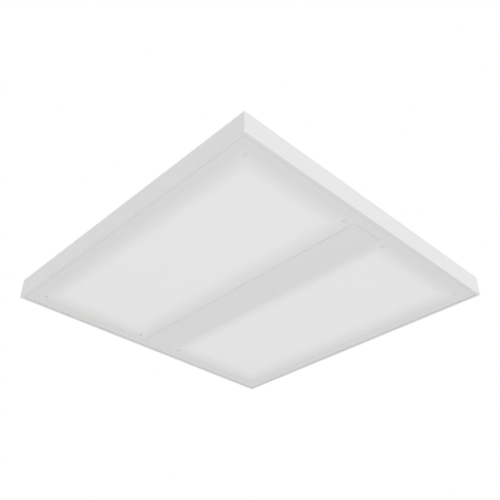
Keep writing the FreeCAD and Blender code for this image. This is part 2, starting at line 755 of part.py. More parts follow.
def linkWires():
    """Link between the two boards of a field, at their far ends."""
    for sign in sides:
        node = "link_wire_right" if sign > 0 else "link_wire_left"
        first, second = [f"{sign}*({across})" for across in along(boardMiddle, "boardPitch", 2)]
        end = "-boardLength/2"
        keep(node, wire(node, [
            (first, end, wireHeight),
            (first, f"{end} - linkRun", wireHeight),
            (second, f"{end} - linkRun", wireHeight),
            (second, end, wireHeight),
        ]))


def hingeBrackets():
    """Fixed hinge halves: a foot under the top flange and an arm down to the pin."""
    for index, sign in enumerate(sides, 1):
        name = f"hinge_bracket_{index}"
        middle = f"{sign}*hingeSpacing"
        armX = (f"{pivotX} - earRadius", f"{pivotX} + earRadius")
        arm = block(name + "Arm", armX, around(middle, "earWidth"), ("pivotHeight", flangeUnder))
        footX = (f"{pivotX} - earRadius", f"{wallInside} - plateGap")
        foot = block(name + "Foot", footX, around(middle, "footLength"), (footUnder, flangeUnder))
        earSpan = around(middle, "earWidth")
        eye = rod(name + "Eye", "Y", earSpan, (pivotX, "pivotHeight"), "earRadius")
        boreSpan = around(middle, "earWidth + 2*past")
        bore = rod(name + "Bore", "Y", boreSpan, (pivotX, "pivotHeight"), "pinRadius + pinFit")
        solid = fuse(name + "Solid", [arm, foot, eye])
        spots = [(screwLine, f"{middle} + {offset}*footScrew") for offset in sides]
        span = (f"{footUnder} - past", f"{flangeUnder} + past")
        bored = cut(name + "Bored", solid, bore)
        keep(name, drilled(name, bored, spots, span, "screwRadius + holeClearance"))


def hingeLeaves():
    """Door hinge halves: a leaf on the door rail with a lug on each side of the ear."""
    for index, sign in enumerate(sides, 1):
        name = f"hinge_leaf_{index}"
        middle = f"{sign}*hingeSpacing"
        leafX = (f"{pivotX} - earRadius", f"{wallLine} - partGap")
        leafZ = (doorTop, f"{doorTop} + leafThick")
        parts = [block(name + "Leaf", leafX, around(middle, "leafLength"), leafZ)]
        for end in sides:
            near = "earWidth/2 + earGap"
            low, high = mirrored(end, near, f"{near} + lugWidth")
            lugY = (f"{middle} + {low}", f"{middle} + {high}")
            lugX = (f"{pivotX} - earRadius", f"{pivotX} + earRadius")
            parts.append(block(f"{name}Lug{end + 1}", lugX, lugY, (doorTop, "pivotHeight")))
            parts.append(rod(f"{name}Eye{end + 1}", "Y", lugY, (pivotX, "pivotHeight"), "earRadius"))
        bore = rod(name + "Bore", "Y", around(middle, "leafLength"), (pivotX, "pivotHeight"), "pinRadius")
        keep(name, cut(name, fuse(name + "Solid", parts), bore))


def hingePins():
    pins = []
    for sign in sides:
        span = around(f"{sign}*hingeSpacing", "earWidth + 2*earGap + 2*lugWidth")
        pins.append(rod(f"hingePin{sign + 1}", "Y", span, (pivotX, "pivotHeight"), "pinRadius"))
    keep("hinge_pins", group("hinge_pins", pins))


def springCatches():
    """Catches under the top flange whose two jaws take the striker balls."""
    jawInside = "(ballRadius + partGap)"
    jawOutside = f"({jawInside} + jawThick)"
    bridge = f"(ballHeight + {jawInside} + 2)"
    for index, sign in enumerate(sides, 1):
        name = f"spring_catch_{index}"
        middle = f"{sign}*hingeSpacing"
        y = around(middle, "jawWidth")
        low = "ballHeight - jawReach"
        jaws = []
        for end in sides:
            inward, outward = mirrored(end, jawInside, jawOutside)
            x = (f"-{pivotX} + {inward}", f"-{pivotX} + {outward}")
            jaws.append(block(f"{name}Jaw{end + 1}", x, y, (low, f"{bridge} + jawThick")))
        bridgeX = (f"-{pivotX} - {jawOutside}", f"-{pivotX} + {jawOutside}")
        top = block(name + "Bridge", bridgeX, y, (bridge, f"{bridge} + jawThick"))
        stem = block(name + "Stem", around(f"-{pivotX}", "2*jawThick"), y, (bridge, flangeUnder))
        footX = (f"-({wallInside} - plateGap)", f"-{pivotX} + {jawOutside}")
        foot = block(name + "Foot", footX, around(middle, "footLength"), (footUnder, flangeUnder))
        spots = [(f"-{screwLine}", f"{middle} + {offset}*footScrew") for offset in sides]
        span = (f"{footUnder} - past", f"{flangeUnder} + past")
        solid = fuse(name + "Solid", jaws + [top, stem, foot])
        keep(name, drilled(name, solid, spots, span, "screwRadius + holeClearance"))
    headSpan = (f"{footUnder} - headHeight", footUnder)
    screwGroup("bracket_screws", footScrewSpots(), headSpan, (footUnder, plateTop))


def ballStrikers():
    """Ball studs on the free edge of the door."""
    strikers = []
    for sign in sides:
        name = f"striker{sign + 1}"
        spot = (f"-{pivotX}", f"{sign}*hingeSpacing")
        foot = rod(name + "Foot", "Z", (doorTop, f"{doorTop} + doorSheet"), spot, "ballFoot")
        post = rod(name + "Post", "Z", (doorTop, "ballHeight"), spot, "ballPost")
        ball = document.addObject("Part::Sphere", name + "Ball")
        bind(ball, Radius="ballRadius")
        place(ball, spot[0], spot[1], "ballHeight")
        strikers.append(fuse(name, [foot, post, ball]))
    keep("ball_strikers", group("ball_strikers", strikers))


def teeClips():
    """Swinging arms over the ceiling tees, one near each corner."""
    for index, ((signX, signY), spot) in enumerate(zip(cornerSigns, clipSpots()), 1):
        name = f"tee_clip_{index}"
        x, y = spot
        z = (clipUnder, clipOver)
        armY = mirrored(-signY, "0", "clipLength")
        arm = block(
            name + "Arm",
            around(x, "2*clipRadius"),
            (f"{y} + {armY[0]}", f"{y} + {armY[1]}"),
            z,
        )
        hub = rod(name + "Hub", "Z", z, spot, "clipRadius")
        tip = rod(name + "Tip", "Z", z, (x, f"{y} - {signY}*clipLength"), "clipRadius")
        edgeX = mirrored(-signX, "clipRadius - clipThick", "clipRadius")
        edge = block(
            name + "Edge",
            (f"{x} + {edgeX[0]}", f"{x} + {edgeX[1]}"),
            around(f"{y} - {signY}*clipLength/2", "clipEdgeLength"),
            (clipUnder, f"{clipOver} + clipEdge"),
        )
        bore = rod(name + "Bore", "Z", (f"{clipUnder} - past", f"{clipOver} + past"), spot, "clipBore")
        keep(name, cut(name, fuse(name + "Solid", [arm, hub, tip, edge]), bore))


def clipRivets():
    """Shoulder rivets that the tee clips turn on."""
    rivets = []
    for index, spot in enumerate(clipSpots()):
        name = f"clipRivet{index}"
        underHead = f"({clipOver} + clipPlay)"
        shoulderTop = f"({clipUnder} - clipPlay)"
        tail = f"({seat} - flangeThick)"
        head = rod(name + "Head", "Z", (underHead, f"{underHead} + flangeThick"), spot, "clipHead")
        shank = rod(name + "Shank", "Z", (tail, underHead), spot, "clipBore - clipFit")
        shoulder = rod(name + "Shoulder", "Z", (plateTop, shoulderTop), spot, "clipShoulder")
        formed = rod(name + "Formed", "Z", (tail, seat), spot, "clipHead")
        rivets.append(fuse(name, [head, shank, shoulder, formed]))
    keep("clip_rivets", group("clip_rivets", rivets))


def doorRails():
    """Four mitred door rails: the flat border and an outer wall."""
    outer = f"-{doorHalf}"
    wall = f"-{wallLine}"
    border = f"-{window}"
    top = "(doorLift + doorWall)"
    corners = [
        (outer, "doorLift"), (border, "doorLift"), (border, doorTop),
        (wall, doorTop), (wall, top), (outer, top),
    ]
    for quarter in quarters:
        name = f"door_rail_{quarter + 1}"
        rail = outline(name + "Profile", "YZ_Plane", corners, f"2*{doorHalf}")
        if quarter == 1:
            rail = hingeNotched(rail, name)
        piece = common(name, [rail, mitre(name + "Mitre", doorHalf, f"{top} + past")])
        keep(name, turn(piece, quarter))


def hingeNotched(rail, name):
    """Openings in the hinge side's wall that let the fixed ears pass."""
    notches = []
    for sign in sides:
        x = around(f"{sign}*hingeSpacing", "earWidth + 2*earGap")
        y = (f"-{doorHalf} - past", f"-{wallLine} + past")
        z = ("pivotHeight - earRadius - partGap", "doorLift + doorWall + past")
        notches.append(block(f"{name}Notch{sign + 1}", x, y, z))
    return cut(name + "Notched", rail, group(name + "Notches", notches))


def cornerGussets():
    """Plates that join the door rails and clamp the outer lens corners."""
    outer = f"-({wallLine} - partGap)"
    near = f"(-({wallLine} - partGap) + gussetWidth)"
    end = f"(-({wallLine} - partGap) + gussetLeg)"
    foot = f"-{seatLine}"
    plate = [(outer, outer), (end, outer), (end, near), (near, near), (near, end), (outer, end)]
    strip = [(outer, outer), (end, outer), (end, foot), (foot, foot), (foot, end), (outer, end)]
    for quarter in quarters:
        name = f"door_corner_gusset_{quarter + 1}"
        upper = outline(name + "Plate", "XY_Plane", plate, "gussetThick")
        place(upper, z=f"{rimTop} + gussetThick/2")
        lower = outline(name + "Strip", "XY_Plane", strip, "lensThick")
        place(lower, z=f"{doorTop} + lensThick/2")
        spot = [(f"-{rivetLine}", f"-{rivetLine}")]
        solid = fuse(name + "Solid", [upper, lower])
        radius = "rivetShank + holeClearance"
        piece = drilled(name, solid, spot, (doorTop, f"{plateOver} + past"), radius)
        keep(name, turn(piece, quarter))


def spineCover():
    """The plain band between the lenses, stiffened by two ribs."""
    ribEnd = f"({spineSeatStart} - ribGap)"
    web = block("spineWeb", around("0", "spineWidth"), (f"-{window}", window), ("doorLift", doorTop))
    parts = [web]
    for sign in sides:
        x = mirrored(sign, "ribSpacing/2 - doorSheet", "ribSpacing/2")
        z = (doorTop, f"{doorTop} + ribHeight")
        parts.append(block(f"spineRib{sign + 1}", x, (f"-{ribEnd}", ribEnd), z))
    keep("spine_cover", fuse("spine_cover", parts))


def spineEndPlates():
    """Plates that tie the spine to the door rails and clamp the inner lens corners."""
    outer = f"({wallLine} - partGap)"
    inner = f"({outer} - gussetWidth)"
    neckX = around("0", "ribSpacing - 4*doorSheet")
    wide = ("-endPlateReach", "endPlateReach")
    over = (rimTop, plateOver)
    under = (doorTop, rimTop)
    for index, sign in enumerate(sides, 1):
        name = f"spine_end_plate_{index}"
        parts = [
            block(name + "Wide", wide, mirrored(sign, inner, outer), over),
            block(name + "Neck", neckX, mirrored(sign, spineSeatStart, outer), over),
            block(name + "RailSeat", wide, mirrored(sign, seatLine, outer), under),
            block(name + "SpineSeat", neckX, mirrored(sign, spineSeatStart, spineSeatEnd), under),
        ]
        spots = [(f"{side}*{innerRivetLine}", f"{sign}*{rivetLine}") for side in sides]
        solid = fuse(name + "Solid", parts)
        radius = "rivetShank + holeClearance"
        keep(name, drilled(name, solid, spots, (doorTop, f"{plateOver} + past"), radius))


def lenses():
    """Dished opal lenses: a flat rim, four gentle slopes and a raised field."""
    ledge = f"({window} - lensLedge)"
    field = f"({ledge} - lensSlope)"
    spineLine = f"({spineHalf} + spineLedge)"
    spineField = f"({spineLine} + spineSlope)"
    for sign in sides:
        name = "lens_right" if sign > 0 else "lens_left"
        rimX = mirrored(sign, f"{spineHalf} - lensOverlap", lensEdge)
        rim = block(name + "Rim", rimX, (f"-{lensEdge}", lensEdge), (doorTop, rimTop))
        footX = mirrored(sign, spineLine, ledge)
        footY = (f"-{ledge}", ledge)
        topX = mirrored(sign, spineField, field)
        topY = (f"-{field}", field)
        outside = (rimTop, f"{rimTop} + lensRise")
        inside = (doorTop, f"{doorTop} + lensRise")
        dome = frustum(name + "Dome", footX, footY, topX, topY, outside)
        hollow = frustum(name + "Hollow", footX, footY, topX, topY, inside)
        dish = cut(name + "Dish", fuse(name + "Solid", [rim, dome]), hollow)
        spots = []
        for end in sides:
            spots.append((f"{sign}*{rivetLine}", f"{end}*{rivetLine}"))
            spots.append((f"{sign}*{innerRivetLine}", f"{end}*{rivetLine}"))
        radius = "rivetShank + holeClearance"
        keep(name, drilled(name, dish, spots, (f"{doorTop} - past", f"{rimTop} + past"), radius))


def lensRivets():
    """Eight rivets at the lens corners, seen from below as small dark spots."""
    rivets = []
    tailTop = f"{plateOver} + tailHeight"
    for signX, signY in cornerSigns:
        for kind, line in (("Outer", rivetLine), ("Inner", innerRivetLine)):
            name = f"lensRivet{kind}{signX + 1}{signY + 1}"
            spot = (f"{signX}*{line}", f"{signY}*{rivetLine}")
            head = rod(name + "Head", "Z", ("doorLift", doorTop), spot, "rivetHead")
            shank = rod(name + "Shank", "Z", (doorTop, plateOver), spot, "rivetShank")
            tail = rod(name + "Tail", "Z", (plateOver, tailTop), spot, "rivetTail")
            rivets.append(fuse(name, [head, shank, tail]))
    keep("lens_rivets", group("lens_rivets", rivets))


def writeParts():
    """Check every object, then write each sub-part to its own file."""
    document.recompute()
    for thing in document.Objects:
        if "Invalid" in thing.State or "Error" in thing.State:
            raise RuntimeError(f"{thing.Name} failed: {thing.State}")
    for thing in nodes:
        if thing.Shape.isNull() or not thing.Shape.isValid():
            raise RuntimeError(f"{thing.Label} has no valid shape")
    os.makedirs("parts", exist_ok=True)
    for thing in nodes:
        thing.Shape.exportStep(os.path.join("parts", thing.Label + ".step"))
        print(f"{thing.Label}: {len(thing.Shape.Solids)} solids, {thing.Shape.Volume:.0f} mm3")


fillSheet()
sideRails()
cornerBrackets()
backPlate()
wiringCover()
cableGrommet()
mainsTerminal()
earthStud()
reflectors()
ledBoards()
driver()
mainsWires()
earthWire()
outputWires()
linkWires()
hingeBrackets()
springCatches()
clipRivets()
teeClips()
doorRails()
cornerGussets()
spineCover()
spineEndPlates()
lenses()
lensRivets()
hingeLeaves()
hingePins()
ballStrikers()
writeParts()
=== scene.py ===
# Recessed troffer light, seen from below: painted steel, two opal lenses and a hinged door.
import json
import math

import bpy
from mathutils import Matrix, Vector

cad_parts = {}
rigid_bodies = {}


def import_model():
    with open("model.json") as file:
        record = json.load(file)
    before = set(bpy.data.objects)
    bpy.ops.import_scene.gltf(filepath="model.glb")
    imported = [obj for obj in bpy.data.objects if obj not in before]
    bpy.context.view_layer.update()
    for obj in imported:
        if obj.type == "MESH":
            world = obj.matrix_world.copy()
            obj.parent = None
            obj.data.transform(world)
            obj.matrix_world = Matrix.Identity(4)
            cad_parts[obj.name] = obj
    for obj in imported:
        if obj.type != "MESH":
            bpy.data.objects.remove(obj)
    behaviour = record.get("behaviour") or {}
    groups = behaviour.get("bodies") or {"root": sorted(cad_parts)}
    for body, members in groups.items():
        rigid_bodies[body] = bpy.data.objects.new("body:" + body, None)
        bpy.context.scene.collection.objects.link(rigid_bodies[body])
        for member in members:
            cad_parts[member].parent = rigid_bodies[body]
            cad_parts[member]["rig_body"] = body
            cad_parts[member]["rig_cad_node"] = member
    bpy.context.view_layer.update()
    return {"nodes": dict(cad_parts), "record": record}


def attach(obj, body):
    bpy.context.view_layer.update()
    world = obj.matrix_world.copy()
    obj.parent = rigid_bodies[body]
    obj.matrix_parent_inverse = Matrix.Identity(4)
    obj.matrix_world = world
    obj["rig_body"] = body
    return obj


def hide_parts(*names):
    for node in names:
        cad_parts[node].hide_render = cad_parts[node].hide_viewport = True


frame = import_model()
mm = 0.001  # all sizes below are in mm unless a note says otherwise
quarterTurn = math.pi / 2
bodies = frame["record"]["behaviour"]["bodies"]
bodyOf = {node: body for body, nodes in bodies.items() for node in nodes}
print("frame loaded,", len(frame["nodes"]), "nodes")

# selecting and modelling, as by hand

levelFace = 0.9  # a face counts as level, or upright, where its normal has this much of the axis
pickSlack = 0.02  # a point this near to a place counts as there
seam = 0.002  # points nearer than this are one
overrun = 1.0  # how far a cutter sticks out of what it cuts
longEdge = 250.0  # only the edges along a rail are longer
flatAngle = 0.5  # degrees, the triangles of a flat face meet at less
hardAngle = 40  # degrees, edges sharper than this are rounded
shadeAngle = 40  # degrees, creases softer than this are shaded round
copyShadeAngle = 35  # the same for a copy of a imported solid


def activate(piece):
    bpy.ops.object.select_all(action="DESELECT")
    piece.select_set(True)
    bpy.context.view_layer.objects.active = piece


def openEdit(piece, everything=False):
    activate(piece)
    bpy.ops.object.mode_set(mode="EDIT")
    if everything:
        bpy.ops.mesh.select_all(action="SELECT")


def closeEdit():
    bpy.ops.object.mode_set(mode="OBJECT")


def pickFaces(piece, test):  # select the faces whose middle and normal pass
    bpy.ops.mesh.select_mode(type="FACE")
    bpy.ops.mesh.select_all(action="DESELECT")
    bpy.ops.object.mode_set(mode="OBJECT")
    for face in piece.data.polygons:
        face.select = test(face.center / mm, face.normal)
    bpy.ops.object.mode_set(mode="EDIT")


def pickEdges(piece, test):  # select the edges whose two ends pass
    bpy.ops.mesh.select_mode(type="EDGE")
    bpy.ops.mesh.select_all(action="DESELECT")
    bpy.ops.object.mode_set(mode="OBJECT")
    corners = piece.data.vertices
    for edge in piece.data.edges:
        edge.select = test([corners[index].co / mm for index in edge.vertices])
    bpy.ops.object.mode_set(mode="EDIT")


def near(value, target):
    return abs(value - target) < pickSlack


def facesUp(normal):
    return normal.z > levelFace


def facesDown(normal):
    return normal.z < -levelFace


def alongRail(ends, y, z):  # a long edge at this place of a rail's section
    return abs(ends[0].x - ends[1].x) > longEdge and near(ends[0].y, y) and near(ends[0].z, z)


def addBlock(name, low, high):
    bpy.ops.object.select_all(action="DESELECT")
    middle = [(a + b) / 2 * mm for a, b in zip(low, high)]
    extent = [(b - a) * mm for a, b in zip(low, high)]
    bpy.ops.mesh.primitive_cube_add(size=1, location=middle, scale=extent)
    piece = bpy.context.object
    piece.name = name
    bpy.ops.object.transform_apply(location=True, rotation=True, scale=True)
    return piece


def addDisc(name, radius, low, high, sides, y=0):
    bpy.ops.object.select_all(action="DESELECT")
    bpy.ops.mesh.primitive_cylinder_add(vertices=sides, radius=radius * mm, depth=(high - low) * mm,
                                        location=(0, y * mm, (low + high) / 2 * mm))
    piece = bpy.context.object
    piece.name = name
    bpy.ops.object.transform_apply(location=True, rotation=True, scale=True)
    return piece


def extrude(x=0, y=0, z=0):
    bpy.ops.mesh.extrude_region_move(TRANSFORM_OT_translate={"value": (x * mm, y * mm, z * mm)})


def inset(width):
    bpy.ops.mesh.inset(thickness=width * mm)


def cutPlane(point, normal, clear=False):
    bpy.ops.mesh.select_all(action="SELECT")
    bpy.ops.mesh.bisect(plane_co=[part * mm for part in point], plane_no=normal,
                        use_fill=clear, clear_outer=clear)


def mitreEnds(half):  # cut both ends of the rail on the -y side at 45 degrees
    cutPlane((-half, -half, 0), (-1, 1, 0), True)
    cutPlane((half, -half, 0), (1, 1, 0), True)


def bevelPicked(width, segments):
    bpy.ops.mesh.bevel(offset=width * mm, segments=segments, affect="EDGES", clamp_overlap=True)


def tidyMesh(piece):  # close the seams and point every face outwards
    openEdit(piece, everything=True)
    bpy.ops.mesh.remove_doubles(threshold=seam * mm)
    bpy.ops.mesh.fill_holes(sides=0)
    bpy.ops.mesh.normals_make_consistent(inside=False)
    closeEdit()


def applyModifier(piece, kind, **settings):
    activate(piece)
    modifier = piece.modifiers.new(kind.title(), kind)
    for key, value in settings.items():
        setattr(modifier, key, value)
    bpy.ops.object.modifier_apply(modifier=modifier.name)


def softenEdges(piece, width, segments=2, angle=hardAngle):
    applyModifier(piece, "BEVEL", width=width * mm, segments=segments, limit_method="ANGLE",
                  angle_limit=math.radians(angle))
    openEdit(piece, everything=True)
    bpy.ops.mesh.dissolve_degenerate(threshold=seam / 2 * mm)
    closeEdit()


def smooth(piece, angle=shadeAngle):  # round edges shade softly, large faces stay even
    activate(piece)
    bpy.ops.object.shade_smooth_by_angle(angle=math.radians(angle))
    applyModifier(piece, "WEIGHTED_NORMAL", keep_sharp=True)


def carve(piece, cutter):  # cut one shape out of another and bin the cutter
    applyModifier(piece, "BOOLEAN", operation="DIFFERENCE", object=cutter, solver="EXACT")
    bpy.data.objects.remove(cutter)


def copyPiece(piece, name, shift=(0, 0, 0), turn=0):  # with its own mesh, turned about the vertical
    activate(piece)
    bpy.ops.object.duplicate(linked=False)
    twin = bpy.context.object
    twin.name = name
    twin.rotation_euler = (0, 0, turn)
    twin.location = [part * mm for part in shift]
    bpy.ops.object.transform_apply(location=True, rotation=True, scale=True)
    return twin


def flipCopy(piece, name, x=1, y=1, z=1):
    twin = copyPiece(piece, name)
    twin.scale = (x, y, z)
    bpy.ops.object.transform_apply(location=True, rotation=True, scale=True)
    tidyMesh(twin)
    return twin


def fourSides(rail, name):  # the rail of the -y side, turned onto the other three sides
    turns = (1, 2, 3)
    return [rail] + [copyPiece(rail, f"{name}{turn + 1}", turn=turn * quarterTurn) for turn in turns]


def joinPieces(pieces, name):
    bpy.ops.object.select_all(action="DESELECT")
    for piece in pieces:
        piece.select_set(True)
    bpy.context.view_layer.objects.active = pieces[0]
    bpy.ops.object.join()
    bpy.context.object.name = name
    return bpy.context.object


def softCopy(node, name, width, segments=2):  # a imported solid's shape, its hard edges rounded
    activate(frame["nodes"][node])
    bpy.ops.object.duplicate(linked=False)
    piece = bpy.context.object
    piece.name = name
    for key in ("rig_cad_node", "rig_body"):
        if key in piece:
            del piece[key]
    world = piece.matrix_world.copy()
    piece.parent = None
    piece.matrix_world = world
    openEdit(piece, everything=True)
    bpy.ops.mesh.remove_doubles(threshold=seam / 2 * mm)
    bpy.ops.mesh.dissolve_limited(angle_limit=math.radians(flatAngle))  # each flat face in one piece
    closeEdit()
    if width:
        softenEdges(piece, width, segments)
    smooth(piece, copyShadeAngle)
    return piece


def mount(piece, node):  # puts a new piece on the body of its CAD node, and hides that node
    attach(piece, bodyOf[node])
    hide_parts(node)


def dress(piece, node, material):  # one finish all over, then its place in the assembly
    piece.data.materials.clear()
    piece.data.materials.append(material)
    mount(piece, node)


# Building blocks of the materials. Fine textures, such as scratches, eroded plastic, satin acrylic and the
# weave of a board, would not show at their real size, so they are drawn coarser, at about a millimetre.

noiseRange = (0.3, 0.7)  # nearly all of a noise lies between these


def linear(hexColour):  # sRGB hex to linear
    channels = [int(hexColour[i:i + 2], 16) / 255 for i in (1, 3, 5)]
    return [c / 12.92 if c <= 0.04045 else ((c + 0.055) / 1.055) ** 2.4 for c in channels] + [1.0]


def grain(size):  # texture scale for a pattern of this many mm
    return 1000 / size


def addNode(tree, kind, settings=None, links=None):
    node = tree.nodes.new(kind)
    for key, value in (settings or {}).items():
        if isinstance(key, int) or key in node.inputs:
            node.inputs[key].default_value = value
        else:
            setattr(node, key, value)
    for socket, source in (links or {}).items():
        tree.links.new(source, node.inputs[socket])
    return node


def newMaterial(name, look):  # the look's plain values, and where a point of the surface is
    material = bpy.data.materials.new(name)
    material.use_nodes = True
    tree = material.node_tree
    shader = tree.nodes["Principled BSDF"]
    shader.inputs["Base Color"].default_value = linear(look["tones"][0])
    shader.inputs["Roughness"].default_value = sum(look["roughness"]) / 2
    shader.inputs["Metallic"].default_value = look.get("metallic", 0.0)
    if "ior" in look:
        shader.inputs["IOR"].default_value = look["ior"]
    place = addNode(tree, "ShaderNodeTexCoord").outputs["Object"]
    return material, tree, shader, place


def tintSurface(tree, shader, look, pattern):  # the look's two tones, spread by a pattern
    first, second = (linear(tone) for tone in look["tones"])
    tones = addNode(tree, "ShaderNodeMix", {"data_type": "RGBA", 6: first, 7: second}, {0: pattern})
    tree.links.new(tones.outputs[2], shader.inputs["Base Color"])


def textureSurface(tree, shader, look, gloss, relief):  # gloss from one pattern, relief from another
    low, high = look.get("glossRange", noiseRange)
    smoothest, roughest = look["roughness"]
    spread = addNode(tree, "ShaderNodeMapRange",
                     {"From Min": low, "From Max": high, "To Min": smoothest, "To Max": roughest},
                     {"Value": gloss})
    tree.links.new(spread.outputs[0], shader.inputs["Roughness"])
    bump = addNode(tree, "ShaderNodeBump", {"Strength": look["strength"], "Distance": look["height"] * mm},
                   {"Height": relief})
    tree.links.new(bump.outputs[0], shader.inputs["Normal"])


def cloudyFinish(name, look):  # a tone that drifts slowly over the piece, and one fine texture
    material, tree, shader, place = newMaterial(name, look)
    cloud = addNode(tree, "ShaderNodeTexNoise", {"Scale": grain(look["drift"]), "Detail": 3},
                    {"Vector": place})
    fine = addNode(tree, "ShaderNodeTexNoise", {"Scale": grain(look["texture"]), "Detail": look["detail"]},
                   {"Vector": place})
    tintSurface(tree, shader, look, cloud.outputs["Fac"])
    gloss = cloud if "metallic" in look else fine  # a metal's film is cloudy, its scratches are fine
    textureSurface(tree, shader, look, gloss.outputs["Fac"], fine.outputs["Fac"])
    return material


# White polyester powder coat, sprayed on steel and baked: an even satin white that hides the metal,
# with the faint orange peel of melted powder.
powderCoatWhite = cloudyFinish("powderCoatWhite", {
    "tones": ("#EAEAEA", "#E8E8E8"), "drift": 60, "roughness": (0.40, 0.50),
    "texture": 1.8, "detail": 2, "height": 0.02, "strength": 0.5,
})

# Matt white coat of the reflector trays: purer white and hardly any gloss, so that it spreads the light.
reflectorPaint = cloudyFinish("reflectorPaint", {
    "tones": ("#F2F2F0", "#EFEFED"), "drift": 60, "roughness": (0.70, 0.80),
    "texture": 1.8, "detail": 2, "height": 0.02, "strength": 0.5,
})

# Bright zinc plating on small steel parts: clean, shiny and slightly cloudy, with fine scratches.
zincPlatedSteel = cloudyFinish("zincPlatedSteel", {
    "tones": ("#D2D2CC", "#BFC1BE"), "drift": 7, "roughness": (0.21, 0.33), "metallic": 1.0,
    "texture": 0.6, "detail": 4, "height": 0.008, "strength": 0.4,
})

# Zinc alloy, die cast and left as cast: darker, dull grey with small clouds.
dieCastZinc = cloudyFinish("dieCastZinc", {
    "tones": ("#A3A4A6", "#8E9092"), "drift": 4, "roughness": (0.45, 0.57), "metallic": 1.0,
    "texture": 0.6, "detail": 4, "height": 0.008, "strength": 0.4,
})

# Turned brass of the earth stud and the terminal screws: warm yellow and bright.
brass = cloudyFinish("brass", {
    "tones": ("#D9B66A", "#C9A250"), "drift": 7, "roughness": (0.19, 0.31), "metallic": 1.0,
    "texture": 0.6, "detail": 4, "height": 0.008, "strength": 0.4,
})

# Moulded polyamide of the lens rivets, as white as the paint around them: they show by their edges.
rivetPolyamide = cloudyFinish("rivetPolyamide", {
    "tones": ("#EBEBEA", "#E8E8E7"), "drift": 9, "roughness": (0.45, 0.55),
    "texture": 0.8, "detail": 3, "height": 0.01, "strength": 0.5,
})

# Moulded polyamide of terminal and plugs: a warmer white with an eroded, silky surface.
whitePolyamide = cloudyFinish("whitePolyamide", {
    "tones": ("#EDEDE8", "#E6E6E0"), "drift": 9, "roughness": (0.45, 0.55),
    "texture": 0.8, "detail": 3, "height": 0.01, "strength": 0.5,
})

# Moulded EPDM rubber of the grommet: near black, dull and slightly grainy.
epdmRubber = cloudyFinish("epdmRubber", {
    "tones": ("#1B1B1C", "#232324"), "drift": 9, "roughness": (0.57, 0.67),
    "texture": 1.1, "detail": 3, "height": 0.03, "strength": 0.5,
})

# White moulded housing of an LED chip: the brightest plastic on the board.
ledPackage = cloudyFinish("ledPackage", {
    "tones": ("#F4F3EE", "#ECEBE6"), "drift": 9, "roughness": (0.35, 0.45),
    "texture": 0.8, "detail": 3, "height": 0.01, "strength": 0.5,
})

# Silicone filled with phosphor powder: the yellow window of a white LED that is off.
ledPhosphor = cloudyFinish("ledPhosphor", {
    "tones": ("#F2C838", "#E8B92C"), "drift": 9, "roughness": (0.30, 0.40),
    "texture": 0.8, "detail": 3, "height": 0.01, "strength": 0.5,
})

# Hot-dip galvanised sheet: dull grey, with ragged crystal spangles of real size, each with its own
# tone and gloss.
zincSheet = {
    "tones": ("#BBBEC0", "#A0A4A7"), "roughness": (0.34, 0.52), "glossRange": (0, 1), "metallic": 1.0,
    "spangle": 9, "fringe": 3, "frond": 4.5, "frondTwist": 1.5, "frondShare": 0.4,
    "dust": 0.9, "height": 0.01, "strength": 0.4,
}


def galvanised(look):
    material, tree, shader, place = newMaterial("galvanisedSteel", look)
    fringe = addNode(tree, "ShaderNodeTexNoise", {"Scale": grain(look["fringe"]), "Detail": 3},
                     {"Vector": place})
    ragged = addNode(tree, "ShaderNodeVectorMath",
                     {"operation": "MULTIPLY_ADD", 1: (look["spangle"] * mm,) * 3},
                     {0: fringe.outputs["Color"], 2: place})
    crystals = addNode(tree, "ShaderNodeTexVoronoi", {"Scale": grain(look["spangle"]), "Randomness": 1.0},
                       {"Vector": ragged.outputs[0]})
    cell = addNode(tree, "ShaderNodeSeparateColor", {}, {"Color": crystals.outputs["Color"]})
    frond = addNode(tree, "ShaderNodeTexNoise",
                    {"Scale": grain(look["frond"]), "Detail": 5, "Distortion": look["frondTwist"]},
                    {"Vector": place})
    tone = addNode(tree, "ShaderNodeMix", {0: look["frondShare"]},
                   {2: cell.outputs[0], 3: frond.outputs["Fac"]})
    tintSurface(tree, shader, look, tone.outputs[0])
    dust = addNode(tree, "ShaderNodeTexNoise", {"Scale": grain(look["dust"]), "Detail": 3},
                   {"Vector": place})
    textureSurface(tree, shader, look, cell.outputs[1], dust.outputs["Fac"])
    return material


galvanisedSteel = galvanised(zincSheet)

# Extruded PVC insulation, slightly glossy. The two wires of a pair lie each side of the middle, so one
# material colours both, and the two stripes of an earth wire meet along its length.
insulation = {"roughness": (0.33, 0.43), "ior": 1.52, "texture": 1.5, "height": 0.01, "strength": 0.4}


def twoTonePvc(name, tones, roughness=insulation["roughness"]):
    look = {**insulation, "tones": tones, "roughness": roughness}
    material, tree, shader, place = newMaterial(name, look)
    parts = addNode(tree, "ShaderNodeSeparateXYZ", {}, {"Vector": place})
    side = addNode(tree, "ShaderNodeMath", {"operation": "GREATER_THAN", 1: 0.0}, {0: parts.outputs[0]})
    tintSurface(tree, shader, look, side.outputs[0])
    ripple = addNode(tree, "ShaderNodeTexNoise", {"Scale": grain(look["texture"]), "Detail": 1},
                     {"Vector": place})
    textureSurface(tree, shader, look, ripple.outputs["Fac"], ripple.outputs["Fac"])
    return material


pvcMains = twoTonePvc("pvcBrownBlue", ("#5B3420", "#2E62A8"))
pvcEarth = twoTonePvc("pvcGreenYellow", ("#3E8E3A", "#E3D02F"))
pvcOutput = twoTonePvc("pvcGrey", ("#8C8D8F", "#7F8183"), (0.35, 0.45))

# White solder mask printed on glass laminate: satin, with the copper pads showing raised under each chip.
boardMask = {
    "tones": ("#E6E9E2", "#D4D8CF"), "roughness": (0.33, 0.43),
    "padPitch": 22.0, "padHalf": 2.2, "weave": 0.7, "height": 0.03, "strength": 0.6,
}


